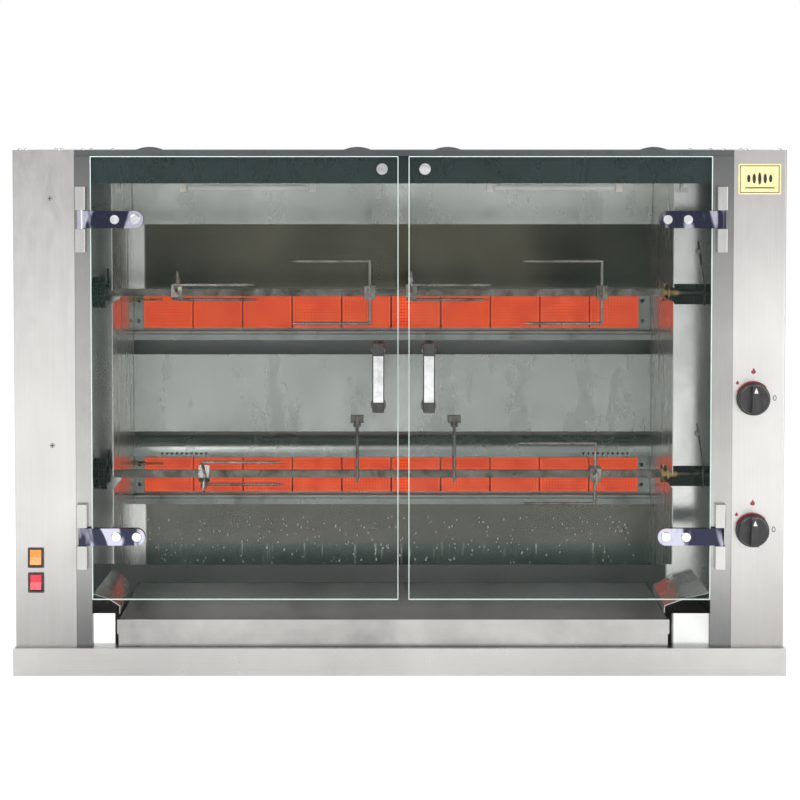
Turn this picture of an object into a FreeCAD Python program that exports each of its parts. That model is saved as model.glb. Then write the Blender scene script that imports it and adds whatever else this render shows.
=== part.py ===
import FreeCAD, Part
import math
import os

# A gas rotisserie oven for a counter: two driven spits, one above the other, turn in front of
# two ceramic infrared burners, behind a pair of frameless glass doors.
#
# Frame: +X to the right, +Y to the back, +Z up, millimetres. The origin is the centre of the
# base's underside. Depths, called d, are counted backwards from the front face of the columns.

V = FreeCAD.Vector
X_AXIS = V(1, 0, 0)
Y_AXIS = V(0, 1, 0)
Z_AXIS = V(0, 0, 1)

# ---- overall size -----------------------------------------------------------------------
WIDTH = 1250.0
DEPTH = 500.0
HEIGHT = 850.0
FRONT_Y = -238.0                  # the columns' front face
SHEET = 1.5                       # casing sheet
LINER = 1.2                       # liner sheet
BASE_H = 45.0
BASE_LEDGE = 12.0                 # the base stands this far ahead of the columns
REAR_D = DEPTH - BASE_LEDGE - 2.0  # the rear panel's outer face

# ---- columns, posts and cavity, across the width -----------------------------------------
COLUMN_OUT = 622.0
LEFT_WALL_X = -523.0              # left frame wall, column side
RIGHT_WALL_X = 537.0              # right frame wall, column side
LEFT_POST_X = -498.0              # inner edge of the left door post
RIGHT_POST_X = 503.6
LEFT_PLATE_X = -463.0             # cavity face of the left side plate
RIGHT_PLATE_X = 441.5             # cavity face of the right side plate
PLATE_D = 8.0                     # front edge of both side plates
BACK_D = 350.0                    # the cavity's back wall
PLATE_FOOT_FRONT = 179.0          # the side plates' lower edge slopes down to the back
PLATE_FOOT_BACK = 119.0
CEILING_Z = 797.5
HEADER_D = 12.0
LIP_Z = 840.5                     # lower edge of the top cover's front lip

# ---- spits and drive ----------------------------------------------------------------------
SPIT_D = 130.0
UPPER_Z = 613.3
LOWER_Z = 310.6
SPIT_SIDE = 12.0
SPIT_LEFT_X = -500.0
SPIT_PIN_X = 436.0                # where the square bar becomes the round end pin
SPIT_END_X = 515.0
SPIT_PIN_R = 5.0
BUSH_BODY_R = 8.5
BUSH_FLANGE_R = 14.7
RUNNING = 0.05                    # radial clearance of a running fit
CHAMBER_D = 115.0                 # panel with the spit slots, right of the cavity
COUPLING_R = 26.0
SHAFT_R = 8.0
SPROCKET_X = -552.0
SPROCKET_T = 6.0
SPIT_SPROCKET_R = 30.0
MOTOR_SPROCKET_R = 20.0
MOTOR_D = 215.0
MOTOR_Z = 0.5 * (UPPER_Z + LOWER_Z)

# ---- doors --------------------------------------------------------------------------------
GLASS_FRONT_D = -7.0
GLASS_BACK_D = -1.0
GLASS_Z = (123.0, 840.0)
LEFT_GLASS_X = (-497.0, -2.0)
RIGHT_GLASS_X = (14.5, 502.5)
HINGE_D = -5.0
LEFT_HINGE_X = -512.5
RIGHT_HINGE_X = 518.0
HINGE_Z = (738.5, 226.0)          # middle of the upper and of the lower hinge
KNUCKLE_H = 29.5
KNUCKLE_R = 6.3
PIN_R = 3.0
STRAP_H = 27.6
STRAP_FREE_X = 101.5              # from the hinge axis to the strap's round end
CAP_OFFSETS = (55.4, 88.0)        # screw caps, from the hinge axis
CATCH_Z = 819.5
CATCH_X = 34.4                    # catch studs and handles, from the doors' meeting line
HANDLE_X = 40.4
DOOR_MIDDLE_X = 6.2
HANDLE_Z = (431.0, 541.0)

# ---- burners ------------------------------------------------------------------------------
TILE_COUNT = 10
TILE_PITCH = 86.7
TILE_H = 59.0
BURNER_X0 = -446.4
BURNER_X1 = BURNER_X0 + TILE_COUNT * TILE_PITCH
BURNER_Z = (538.0, 250.0)         # lower edge of the upper and of the lower tiles

# ---- controls -----------------------------------------------------------------------------
TAP_X = 570.0
TAP_Z = (449.5, 236.0)
SPINDLE_R = 4.0
SWITCH_X = -588.4
SWITCH_Z = (191.0, 150.5)
ROCKER_D = 4.0                    # depth of the rockers' pivot
ROCKER_TILT = 7.0

# ---- gas and supply cord --------------------------------------------------------------------
INLET_Z = 115.0
INLET_R = 10.48                   # half-inch parallel pipe thread
INLET_NECK_R = 10.0               # plain neck where the inlet passes the rear sheet
FEED_D = 392.0
FEED_R = 5.0
FEED_X = 546.0
GLAND_X = -580.0
GLAND_Z = 110.0
GLAND_THREAD_R = 8.0
GLAND_BORE_R = 4.5

# ---- spit latches and lamps -----------------------------------------------------------------
LATCH_X = 495.5
LATCH_D = (109.0, 112.0)
LATCH_PIVOT_UP = 69.0             # from the spit axis up to the latch's pivot
LAMP_X = ((-346.0, -146.0), (151.0, 351.0))
LAMP_D = 45.0
LAMP_Z = 789.0


# ---- helpers ------------------------------------------------------------------------------
def box(x0, x1, d0, d1, z0, z1):
    """A block between two X values, two depths and two heights."""
    return Part.makeBox(x1 - x0, d1 - d0, z1 - z0, V(x0, FRONT_Y + d0, z0))


def rod_x(x0, x1, d, z, r):
    return Part.makeCylinder(r, x1 - x0, V(x0, FRONT_Y + d, z), X_AXIS)


def rod_y(x, d0, d1, z, r):
    return Part.makeCylinder(r, d1 - d0, V(x, FRONT_Y + d0, z), Y_AXIS)


def rod_z(x, d, z0, z1, r):
    return Part.makeCylinder(r, z1 - z0, V(x, FRONT_Y + d, z0), Z_AXIS)


def ball(x, d, z, r):
    return Part.makeSphere(r, V(x, FRONT_Y + d, z))


def extrude(points, direction):
    """A prism with the closed polygon as its base."""
    return Part.Face(Part.makePolygon(points + [points[0]])).extrude(direction)


def prism_x(profile, x0, x1):
    """profile is a list of (depth, height)."""
    return extrude([V(x0, FRONT_Y + d, z) for d, z in profile], V(x1 - x0, 0, 0))


def prism_y(profile, d0, d1):
    """profile is a list of (x, height)."""
    return extrude([V(x, FRONT_Y + d0, z) for x, z in profile], V(0, d1 - d0, 0))


def prism_z(profile, z0, z1):
    """profile is a list of (x, depth)."""
    return extrude([V(x, FRONT_Y + d, z0) for x, d in profile], V(0, 0, z1 - z0))


def fuse(shapes):
    """One solid from shapes that touch or overlap."""
    whole = shapes[0]
    for shape in shapes[1:]:
        whole = whole.fuse(shape)
    return whole.removeSplitter()


def cut(shape, tools):
    for tool in tools:
        shape = shape.cut(tool)
    return shape


def pipe(points, r):
    """A pipe of straight runs with round elbows, through (x, depth, height) points."""
    runs = []
    for start, end in zip(points, points[1:]):
        a = V(start[0], FRONT_Y + start[1], start[2])
        b = V(end[0], FRONT_Y + end[1], end[2])
        runs.append(Part.makeCylinder(r, (b - a).Length, a, b - a))
    elbows = [ball(x, d, z, r) for x, d, z in points[1:-1]]
    return fuse(runs + elbows)


def round_edges(shape, direction, radius, chosen):
    """Rounds the straight edges along a direction whose middle point is chosen."""
    edges = []
    for edge in shape.Edges:
        if edge.Curve.TypeId != "Part::GeomLine":
            continue
        along = edge.Curve.Direction
        if abs(abs(along.dot(direction)) - 1.0) > 1e-6:
            continue
        if chosen(edge.CenterOfMass):
            edges.append(edge)
    return shape.makeFillet(radius, edges)


def mirror_x(shape, x_middle):
    return shape.mirror(V(x_middle, 0, 0), X_AXIS)


def save(node, solids):
    """Writes one node as parts/NODE.step."""
    shape = solids[0] if len(solids) == 1 else Part.makeCompound(solids)
    if not shape.isValid():
        raise ValueError("not valid: " + node)
    shape.exportStep("parts/" + node + ".step")


# ---- casing -------------------------------------------------------------------------------
def base_pan():
    half = 0.5 * WIDTH
    rim = 25.0
    front = -BASE_LEDGE
    pan = box(-half, half, front, REAR_D + 2.0, 0, BASE_H - SHEET)
    hollow = box(-half + SHEET, half - SHEET, front + SHEET, REAR_D + 2.0 - SHEET,
                 SHEET, BASE_H - 2 * SHEET)
    mouth = box(-half + rim, half - rim, front + rim, REAR_D - rim, SHEET, BASE_H)
    deck = box(-COLUMN_OUT, COLUMN_OUT, front, REAR_D, BASE_H - SHEET, BASE_H)
    return [cut(pan, [hollow, mouth]), deck]


def column_shell(outer_x, wall_x):
    """A casing open towards its frame wall and at the bottom, with soft front corners."""
    x0, x1 = sorted((outer_x, wall_x))
    inside = SHEET if outer_x < wall_x else -SHEET
    i0, i1 = sorted((outer_x + inside, wall_x))

    def front_corner(middle):
        return middle.y < FRONT_Y + 3 and abs(middle.x - outer_x) < 2

    shell = box(x0, x1, 0, REAR_D, BASE_H, HEIGHT)
    shell = round_edges(shell, Z_AXIS, 3.0, front_corner)
    hollow = box(i0, i1, SHEET, REAR_D - SHEET, BASE_H, HEIGHT - SHEET)
    hollow = round_edges(hollow, Z_AXIS, 1.5, front_corner)
    return shell.cut(hollow)


def left_column_cover():
    shell = column_shell(-COLUMN_OUT, LEFT_WALL_X)
    for z in SWITCH_Z:
        shell = shell.cut(box(SWITCH_X - 11.1, SWITCH_X + 11.1, -1, 3, z - 14.6, z + 14.6))
    gland_hole = rod_y(GLAND_X, REAR_D - 3, REAR_D + 1, GLAND_Z, GLAND_THREAD_R)
    return [shell.cut(gland_hole)]


def right_column_cover():
    shell = column_shell(COLUMN_OUT, RIGHT_WALL_X)
    holes = [rod_y(TAP_X, -1, 3, z, SPINDLE_R + 2.0) for z in TAP_Z]
    holes.append(rod_y(TAP_X, REAR_D - 3, REAR_D + 1, INLET_Z, INLET_NECK_R))
    return [cut(shell, holes)]


def frame_walls():
    """The sheets that part the columns from the cavity, with holes for shafts and pipes."""
    left = box(LEFT_WALL_X, LEFT_WALL_X + SHEET, 2, REAR_D - SHEET, BASE_H, HEIGHT - SHEET)
    right = box(RIGHT_WALL_X - SHEET, RIGHT_WALL_X, 2, REAR_D - SHEET, BASE_H, HEIGHT - SHEET)
    for z in (UPPER_Z, LOWER_Z):
        left = left.cut(rod_x(LEFT_WALL_X - 1, LEFT_WALL_X + 3, SPIT_D, z, 12.0))
    for z in BURNER_Z:
        hole = rod_x(RIGHT_WALL_X - 3, RIGHT_WALL_X + 1, FEED_D, z + 0.5 * TILE_H, FEED_R + 1.5)
        right = right.cut(hole)
    return [left, right]


def door_posts():
    """Angle posts: a narrow front face and an inner return."""
    top = LIP_Z - 0.5
    face = 2.0 + SHEET
    left = fuse([box(LEFT_WALL_X + SHEET, LEFT_POST_X, 2, face, BASE_H, top),
                 box(LEFT_POST_X - SHEET, LEFT_POST_X, face, 17, BASE_H, top)])
    right = fuse([box(RIGHT_POST_X, RIGHT_WALL_X - SHEET, 2, face, BASE_H, top),
                  box(RIGHT_POST_X, RIGHT_POST_X + SHEET, face, 17, BASE_H, top)])
    return [left, right]


def top_cover():
    x0 = LEFT_WALL_X
    x1 = RIGHT_WALL_X
    sheet = box(x0, x1, 0, REAR_D - SHEET, HEIGHT - SHEET, HEIGHT)
    lip = box(x0, x1, 0, SHEET, LIP_Z, HEIGHT - SHEET)
    for row_d in (385.0, 405.0, 425.0):
        for i in range(10):
            x = -315.0 + i * 70.0
            sheet = sheet.cut(box(x - 25, x + 25, row_d, row_d + 7, HEIGHT - 3, HEIGHT + 1))
    return [fuse([sheet, lip])]


def header_rail():
    """The dark angle behind the top of the doors; its foot carries the lamps."""
    x0 = LEFT_POST_X + 0.5
    x1 = RIGHT_POST_X - 0.5
    face = box(x0, x1, HEADER_D, HEADER_D + SHEET, CEILING_Z - SHEET, LIP_Z + SHEET)
    foot = box(x0, x1, HEADER_D, 62, CEILING_Z - SHEET, CEILING_Z)
    head = box(x0, x1, SHEET, HEADER_D + SHEET, LIP_Z, LIP_Z + SHEET)
    return [fuse([face, foot, head])]


def rear_panel():
    panel = box(LEFT_WALL_X, RIGHT_WALL_X, REAR_D - SHEET, REAR_D, BASE_H, HEIGHT)
    for row in range(5):
        for i in range(8):
            x = -280.0 + i * 80.0
            z = 640.0 + row * 22.0
            panel = panel.cut(box(x - 28, x + 28, REAR_D - 3, REAR_D + 1, z, z + 7))
    return [panel]


# ---- cavity lining --------------------------------------------------------------------------
def plate_blank(x0, x1):
    profile = [(PLATE_D, PLATE_FOOT_FRONT), (BACK_D, PLATE_FOOT_BACK),
               (BACK_D, CEILING_Z - SHEET), (62, CEILING_Z - SHEET),
               (PLATE_D, CEILING_Z - SHEET - 0.2)]
    return prism_x(profile, x0, x1)


def left_side_plate():
    plate = plate_blank(LEFT_PLATE_X - LINER, LEFT_PLATE_X)
    for z in (UPPER_Z, LOWER_Z):
        slot = box(LEFT_PLATE_X - 3, LEFT_PLATE_X + 3, PLATE_D - 1, SPIT_D, z - 10, z + 10)
        plate = cut(plate, [slot, rod_x(LEFT_PLATE_X - 3, LEFT_PLATE_X + 3, SPIT_D, z, 10)])
    return [plate]


def right_side_plate():
    """The right plate's slots are open to the front, and the bushes rest in their back ends."""
    plate = plate_blank(RIGHT_PLATE_X, RIGHT_PLATE_X + LINER)
    seat_r = BUSH_BODY_R + RUNNING
    x0 = RIGHT_PLATE_X - 3
    x1 = RIGHT_PLATE_X + 5
    for z in (UPPER_Z, LOWER_Z):
        slot = box(x0, x1, PLATE_D - 1, SPIT_D, z - seat_r, z + 15)
        back = box(x0, x1, SPIT_D - 1, SPIT_D + seat_r, z, z + 15)
        plate = cut(plate, [slot, back, rod_x(x0, x1, SPIT_D, z, seat_r)])
    return [plate]


def liner_panels():
    """Chamber panels beside the cavity, its ceiling and the plain parts of its back wall."""
    panels = []
    left_x = (LEFT_WALL_X + SHEET, LEFT_PLATE_X - LINER)
    right_x = (RIGHT_PLATE_X + LINER, RIGHT_WALL_X - SHEET)
    top = CEILING_Z - SHEET
    panels.append(box(left_x[0], left_x[1], 185, 185 + LINER, 150, top))
    right = box(right_x[0], right_x[1], CHAMBER_D, CHAMBER_D + LINER, 118, top)
    for z in (UPPER_Z, LOWER_Z):
        right = right.cut(box(right_x[0] - 1, right_x[1] - 14, CHAMBER_D - 1, CHAMBER_D + 3,
                              z - 19, z + 15))
    panels.append(right)
    panels.append(box(LEFT_POST_X + 0.5, -462, 11, 11 + LINER, BASE_H, 98))
    panels.append(box(442, RIGHT_POST_X - 0.5, 11, 11 + LINER, BASE_H, 98))
    ceiling = box(LEFT_PLATE_X, RIGHT_PLATE_X, 62.5, BACK_D, top, CEILING_Z)
    panels.append(ceiling.cut(box(-360, 360, 285, 325, top - 1, CEILING_Z + 1)))
    wall = (LEFT_PLATE_X, RIGHT_PLATE_X, BACK_D, BACK_D + LINER)
    panels.append(box(*wall, 601.5, top))
    panels.append(box(*wall, 120, 229.5))
    return panels


def reflectors():
    """The hood baffle, the bright reflector between the burners, and the lower curved hood."""
    x0 = LEFT_PLATE_X + 0.5
    x1 = RIGHT_PLATE_X - 0.5
    hood = prism_x([(318, 796), (338, 720), (339.2, 720), (349, 724), (349, 725.2),
                    (338.5, 721.2), (319.2, 796)], x0, x1)
    middle = fuse([box(x0, x1, 338, 338 + LINER, 358, 491),
                   box(x0, x1, 338, BACK_D, 490, 491 + LINER),
                   box(x0, x1, 338, BACK_D, 357, 358)])
    radius = 34.0
    outer = rod_x(x0, x1, BACK_D, 316, radius)
    inner = rod_x(x0 - 1, x1 + 1, BACK_D, 316, radius - LINER)
    quarter = box(x0, x1, BACK_D - radius, BACK_D, 316, 316 + radius)
    curved = outer.common(quarter).cut(inner)
    for side_x in (-412.0, 322.0):
        for i in range(10):
            x = side_x + i * 8.5
            curved = curved.cut(rod_y(x, BACK_D - radius - 5, BACK_D - radius + 6, 321.0, 2.0))
    return [hood, middle, curved]


def drip_wings():
    """Folded deflectors that slope forwards and inwards to the drip tray."""
    wings = []
    left = ([(-496.0, 131.4), (-471.5, 124.0), (-453.0, 112.0), (-453.4, 99.0)],
            [(-478.0, 151.6), (-461.3, 145.3), (-450.2, 131.9), (-450.4, 119.0)])
    right = ([(502.0, 133.3), (463.4, 124.6), (429.4, 112.3), (428.8, 99.8)],
             [(485.6, 152.7), (455.0, 144.8), (422.6, 126.7), (422.4, 114.0)])
    for (front, back), inwards in ((left, -1.0), (right, 1.0)):
        wires = []
        for line, d in ((front, 4.0), (back, 110.0)):
            under = [(x + inwards * 1.1, z - 1.1) for x, z in line[:-1]]
            under.append((line[-1][0] + inwards * 1.1, line[-1][1]))
            outline = [V(x, FRONT_Y + d, z) for x, z in line + under[::-1]]
            wires.append(Part.makePolygon(outline + [outline[0]]))
        wings.append(Part.makeLoft(wires, True, True))
    return wings


# ---- burners and gas ------------------------------------------------------------------------
def burner_tiles():
    tiles = []
    for foot in BURNER_Z:
        for i in range(TILE_COUNT):
            x = BURNER_X0 + i * TILE_PITCH
            tile = box(x + 0.6, x + TILE_PITCH - 0.6, BACK_D + 2, BACK_D + 14,
                       foot, foot + TILE_H)
            tiles.append(tile)
    return tiles


def burner_housings():
    """Each burner box, its end brackets with two holes each, and its two-step sill."""
    solids = []
    for foot in BURNER_Z:
        top = foot + TILE_H
        shell = box(BURNER_X0, BURNER_X1, BACK_D + 3, BACK_D + 80, foot - 4, top + 4)
        chamber = box(BURNER_X0 + 2, BURNER_X1 - 2, BACK_D + 14, BACK_D + 78, foot, top)
        seat = box(BURNER_X0 + 0.6, BURNER_X1 - 0.6, BACK_D, BACK_D + 14, foot, top)
        jet_hole = rod_x(BURNER_X1 - 4, BURNER_X1 + 1, FEED_D, foot + 0.5 * TILE_H, 8.0)
        solids.append(cut(shell, [chamber, seat, jet_hole]))
        ends = ((LEFT_PLATE_X + 0.5, BURNER_X0 - 0.2), (BURNER_X1 + 0.2, RIGHT_PLATE_X - 0.5))
        for x0, x1 in ends:
            bracket = box(x0, x1, BACK_D, BACK_D + 3, foot - 4, top + 4)
            middle_x = 0.5 * (x0 + x1) if x0 < 0 else x0 + 6.0
            for z in (foot + 12, top - 12):
                bracket = bracket.cut(rod_y(middle_x, BACK_D - 1, BACK_D + 4, z, 3.5))
            solids.append(bracket)
        sill_top = foot - 4.2
        sill = prism_x([(BACK_D + 3, sill_top), (BACK_D - 14, sill_top - 1),
                        (BACK_D - 14, sill_top - 5), (BACK_D - 18, sill_top - 6),
                        (BACK_D - 18, sill_top - 16), (BACK_D + 3, sill_top - 16)],
                       LEFT_PLATE_X + 0.5, RIGHT_PLATE_X - 0.5)
        solids.append(sill)
    return solids


def gas_taps():
    taps = []
    for z in TAP_Z:
        body = box(TAP_X - 15, TAP_X + 15, 8, 48, z - 16, z + 16)
        neck = rod_y(TAP_X, SHEET, 8, z, 10)
        spindle_hole = rod_y(TAP_X, 0, 34, z, SPINDLE_R + RUNNING)
        taps.append(fuse([body, neck]).cut(spindle_hole))
    return taps


def gas_pipes():
    """The manifold from the rear inlet to both taps, and one feed pipe to each burner."""
    manifold = pipe([(TAP_X, 60, TAP_Z[0] + 8), (TAP_X, 60, INLET_Z),
                     (TAP_X, REAR_D - 6, INLET_Z)], 9.0)
    neck = rod_y(TAP_X, REAR_D - 8, REAR_D + 1, INLET_Z, INLET_NECK_R)
    inlet = rod_y(TAP_X, REAR_D + 1, REAR_D + 22, INLET_Z, INLET_R)
    branches = [rod_y(TAP_X, 48, 55, z, 7) for z in TAP_Z]
    pipes = [fuse([manifold, neck, inlet] + branches)]
    for tap_z, burner_foot in zip(TAP_Z, BURNER_Z):
        z = burner_foot + 0.5 * TILE_H
        pipes.append(pipe([(TAP_X - 15, 38, tap_z), (FEED_X, 38, tap_z), (FEED_X, 110, tap_z),
                           (FEED_X, FEED_D, z), (BURNER_X1 + 24, FEED_D, z)], FEED_R))
    return pipes


def injectors():
    jets = []
    for foot in BURNER_Z:
        z = foot + 0.5 * TILE_H
        collar = rod_x(BURNER_X1 + 10, BURNER_X1 + 24, FEED_D, z, 9)
        nose = rod_x(BURNER_X1 - 10, BURNER_X1 + 10, FEED_D, z, 5.5)
        jets.append(fuse([collar, nose]))
    return jets


def thermocouples():
    """A probe at the left end of each burner, on its own small bracket."""
    probes = []
    for foot in BURNER_Z:
        z = foot + TILE_H - 9
        tip = rod_x(LEFT_PLATE_X + 6, BURNER_X0 + 34, BACK_D - 8, z, 2.0)
        stem = box(LEFT_PLATE_X + 1, LEFT_PLATE_X + 6, BACK_D - 11, BACK_D, z - 3, z + 3)
        probes.append(fuse([tip, stem]))
    return probes


def cable_gland():
    body = rod_y(GLAND_X, REAR_D - 12, REAR_D + 16, GLAND_Z, GLAND_THREAD_R)
    nut = rod_y(GLAND_X, REAR_D, REAR_D + 7, GLAND_Z, 12.0)
    bore = rod_y(GLAND_X, REAR_D - 13, REAR_D + 17, GLAND_Z, GLAND_BORE_R)
    return [fuse([body, nut]).cut(bore)]


# ---- drive ----------------------------------------------------------------------------------
def toothed_ring(x0, x1, z, r, teeth, notch_r):
    """A disc across the spit axis, its rim cut by round notches."""
    ring = rod_x(x0, x1, SPIT_D, z, r)
    for i in range(teeth):
        turn = 2 * math.pi * i / teeth
        ring = ring.cut(rod_x(x0 - 1, x1 + 1, SPIT_D + r * math.cos(turn),
                              z + r * math.sin(turn), notch_r))
    return ring


def spit_drive(z):
    """A drive shaft with its double toothed coupling, its sprocket and its lock pin."""
    shaft = rod_x(-562, -508, SPIT_D, z, SHAFT_R)
    left_row = toothed_ring(-508, -499, z, COUPLING_R, 20, 2.0)
    groove = rod_x(-499, -496, SPIT_D, z, COUPLING_R - 4)
    right_row = toothed_ring(-496, -487, z, COUPLING_R, 20, 2.0)
    collar = rod_x(-487, -481, SPIT_D, z, 15)
    turned = fuse([shaft, left_row, groove, right_row, collar])
    half = 0.5 * SPIT_SIDE
    socket = box(SPIT_LEFT_X, -480, SPIT_D - half, SPIT_D + half, z - half, z + half)
    pin_hole = rod_z(-484, SPIT_D, z + half, z + 20, 1.5)
    turned = cut(turned, [socket, pin_hole])
    sprocket = toothed_ring(SPROCKET_X, SPROCKET_X + SPROCKET_T, z, SPIT_SPROCKET_R, 24, 2.2)
    sprocket = sprocket.cut(rod_x(SPROCKET_X - 1, SPROCKET_X + 8, SPIT_D, z, SHAFT_R))
    pin = fuse([rod_z(-484, SPIT_D, z + half, z + 38, 1.5), ball(-484, SPIT_D, z + 38, 2.2)])
    return [turned, sprocket, pin]


def gear_motor():
    """A worm gear motor beside the chain, its shaft towards the chain."""
    gearbox = box(-612, -566, MOTOR_D - 40, MOTOR_D + 45, MOTOR_Z - 45, MOTOR_Z + 45)
    nose = rod_x(-566, -563.5, MOTOR_D, MOTOR_Z, 18)
    shaft_hole = rod_x(-590, -560, MOTOR_D, MOTOR_Z, 6.0 + RUNNING)
    body = fuse([gearbox, nose]).cut(shaft_hole)
    can = rod_y(-592, MOTOR_D + 45, MOTOR_D + 135, MOTOR_Z, 26)
    fan_cover = rod_y(-592, MOTOR_D + 135, MOTOR_D + 150, MOTOR_Z, 23)
    return [body, fuse([can, fan_cover])]


def motor_sprocket():
    shaft = rod_x(-588, -540, MOTOR_D, MOTOR_Z, 6.0)
    ring = rod_x(SPROCKET_X, SPROCKET_X + SPROCKET_T, MOTOR_D, MOTOR_Z, MOTOR_SPROCKET_R)
    for i in range(16):
        turn = 2 * math.pi * i / 16
        ring = ring.cut(rod_x(SPROCKET_X - 1, SPROCKET_X + 8,
                              MOTOR_D + MOTOR_SPROCKET_R * math.cos(turn),
                              MOTOR_Z + MOTOR_SPROCKET_R * math.sin(turn), 2.2))
    return [fuse([shaft, ring])]


def drive_brackets():
    """Flanged bearings for the drive shafts, and the motor plate on four standoffs."""
    solids = []
    for z in (UPPER_Z, LOWER_Z):
        flange = rod_x(LEFT_WALL_X + SHEET, LEFT_WALL_X + SHEET + 3, SPIT_D, z, 22)
        boss = rod_x(LEFT_WALL_X - 14, LEFT_WALL_X + SHEET + 9, SPIT_D, z, 12)
        bore = rod_x(LEFT_WALL_X - 20, LEFT_WALL_X + 20, SPIT_D, z, SHAFT_R + RUNNING)
        solids.append(fuse([flange, boss]).cut(bore))
    plate = box(-563.5, -560.5, MOTOR_D - 50, MOTOR_D + 60, MOTOR_Z - 60, MOTOR_Z + 60)
    plate = plate.cut(rod_x(-570, -555, MOTOR_D, MOTOR_Z, 18))
    solids.append(plate)
    for d in (MOTOR_D - 38, MOTOR_D + 52):
        for z in (MOTOR_Z - 52, MOTOR_Z + 52):
            solids.append(rod_x(-560.5, LEFT_WALL_X, d, z, 4.0))
    return solids


def belt_outline(circles, grow):
    """The tight loop round circles (depth, height, radius), listed counter-clockwise."""
    points = []
    count = len(circles)
    for i in range(count):
        d0, z0, r0 = circles[i]
        d1, z1, r1 = circles[(i + 1) % count]
        r0 += grow
        r1 += grow
        gap = math.hypot(d1 - d0, z1 - z0)
        heading = math.atan2(z1 - z0, d1 - d0)
        normal = heading - math.acos((r0 - r1) / gap)
        for d, z, r in ((d0, z0, r0), (d1, z1, r1)):
            points.append(V(0, FRONT_Y + d + r * math.cos(normal), z + r * math.sin(normal)))
    edges = []
    for i in range(count):
        leave = points[2 * i]
        arrive = points[2 * i + 1]
        onward = points[(2 * i + 2) % (2 * count)]
        edges.append(Part.LineSegment(leave, arrive).toShape())
        d, z, r = circles[(i + 1) % count]
        centre = V(0, FRONT_Y + d, z)
        start = math.atan2(arrive.z - z, arrive.y - centre.y)
        end = math.atan2(onward.z - z, onward.y - centre.y)
        if end < start:
            end += 2 * math.pi
        middle = 0.5 * (start + end)
        top = centre + V(0, (r + grow) * math.cos(middle), (r + grow) * math.sin(middle))
        edges.append(Part.Arc(arrive, top, onward).toShape())
    return Part.Face(Part.Wire(edges))


def drive_chain():
    """The chain as a plain band just outside the sprockets' tips."""
    circles = [(SPIT_D, LOWER_Z, SPIT_SPROCKET_R), (MOTOR_D, MOTOR_Z, MOTOR_SPROCKET_R),
               (SPIT_D, UPPER_Z, SPIT_SPROCKET_R)]
    band = belt_outline(circles, 4.5).cut(belt_outline(circles, 0.5))
    return [band.extrude(V(5.0, 0, 0)).translated(V(SPROCKET_X + 0.5, 0, 0))]


# ---- spits and forks ------------------------------------------------------------------------
def spit(z):
    half = 0.5 * SPIT_SIDE
    bar = box(SPIT_LEFT_X, SPIT_PIN_X, SPIT_D - half, SPIT_D + half, z - half, z + half)
    pin = rod_x(SPIT_PIN_X, SPIT_END_X, SPIT_D, z, SPIT_PIN_R)
    tip = pin.Edges[0]
    for edge in pin.Edges:
        if edge.CenterOfMass.x > tip.CenterOfMass.x:
            tip = edge
    return fuse([bar, pin.makeChamfer(1.5, [tip])])


def brace_bolt(x, z):
    """A U-bolt round the bar, with a cross plate and two wing nuts on long threads."""
    solids = []
    legs = 11.0
    for side in (-legs, legs):
        leg = rod_z(x, SPIT_D + side, z - 8, z + 96, 2.5)
        solids.append(leg)
    foot = box(x - 2.5, x + 2.5, SPIT_D - legs - 2.5, SPIT_D + legs + 2.5, z - 12, z - 7)
    solids.append(foot)
    cross = box(x - 6, x + 6, SPIT_D - legs - 5, SPIT_D + legs + 5, z + 80, z + 83)
    solids.append(cross)
    for side in (-legs, legs):
        solids.append(rod_z(x, SPIT_D + side, z + 83, z + 91, 5))
        solids.append(box(x - 11, x + 11, SPIT_D + side - 1, SPIT_D + side + 1, z + 86, z + 97))
    return fuse(solids)


def fork(x, z, heading, tilt):
    """A two-pronged fork with its thumb screw. heading is the way the prongs point, along X;
    tilt turns the fork about the bar, from upright."""
    span = 52.0
    wire_r = 2.6
    hub_half = 11.0
    prong = 118.0
    clear = 0.5 * SPIT_SIDE + RUNNING
    hub = box(x - 9, x + 9, SPIT_D - hub_half, SPIT_D + hub_half, z - hub_half, z + hub_half)
    shapes = [hub]
    for side in (-1, 1):
        foot = z + side * (hub_half - 2)
        tip_z = z + side * span
        low, high = sorted((foot, tip_z))
        shapes.append(rod_z(x, SPIT_D, low, high, wire_r))
        shapes.append(ball(x, SPIT_D, tip_z, wire_r))
        x0, x1 = sorted((x, x + heading * prong))
        shapes.append(rod_x(x0, x1, SPIT_D, tip_z, wire_r))
        point = Part.makeCone(wire_r, 0.4, 14, V(x + heading * prong, FRONT_Y + SPIT_D, tip_z),
                              V(heading, 0, 0))
        shapes.append(point)
    body = fuse(shapes)
    screw_hole = rod_y(x, SPIT_D - 20, SPIT_D - clear, z, 3.0)
    screw = fuse([rod_y(x, SPIT_D - 24, SPIT_D - clear, z, 3.0),
                  rod_y(x, SPIT_D - 24, SPIT_D - 17, z, 5.0),
                  box(x - 1.2, x + 1.2, SPIT_D - 33, SPIT_D - 19, z - 11, z + 11)])
    body = body.cut(screw_hole)
    turned = []
    for solid in (body, screw):
        solid = solid.copy()
        solid.rotate(V(x, FRONT_Y + SPIT_D, z), X_AXIS, tilt)
        turned.append(solid)
    bore = box(x - 30, x + 30, SPIT_D - clear, SPIT_D + clear, z - clear, z + clear)
    return [turned[0].cut(bore), turned[1].cut(bore)]


def bush(z):
    body = rod_x(SPIT_PIN_X, 463, SPIT_D, z, BUSH_BODY_R)
    flanges = [rod_x(x, x + 3.4, SPIT_D, z, BUSH_FLANGE_R) for x in (SPIT_PIN_X, 445.6)]
    bore = rod_x(SPIT_PIN_X - 1, 464, SPIT_D, z, SPIT_PIN_R)
    return fuse([body] + flanges).cut(bore)


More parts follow.
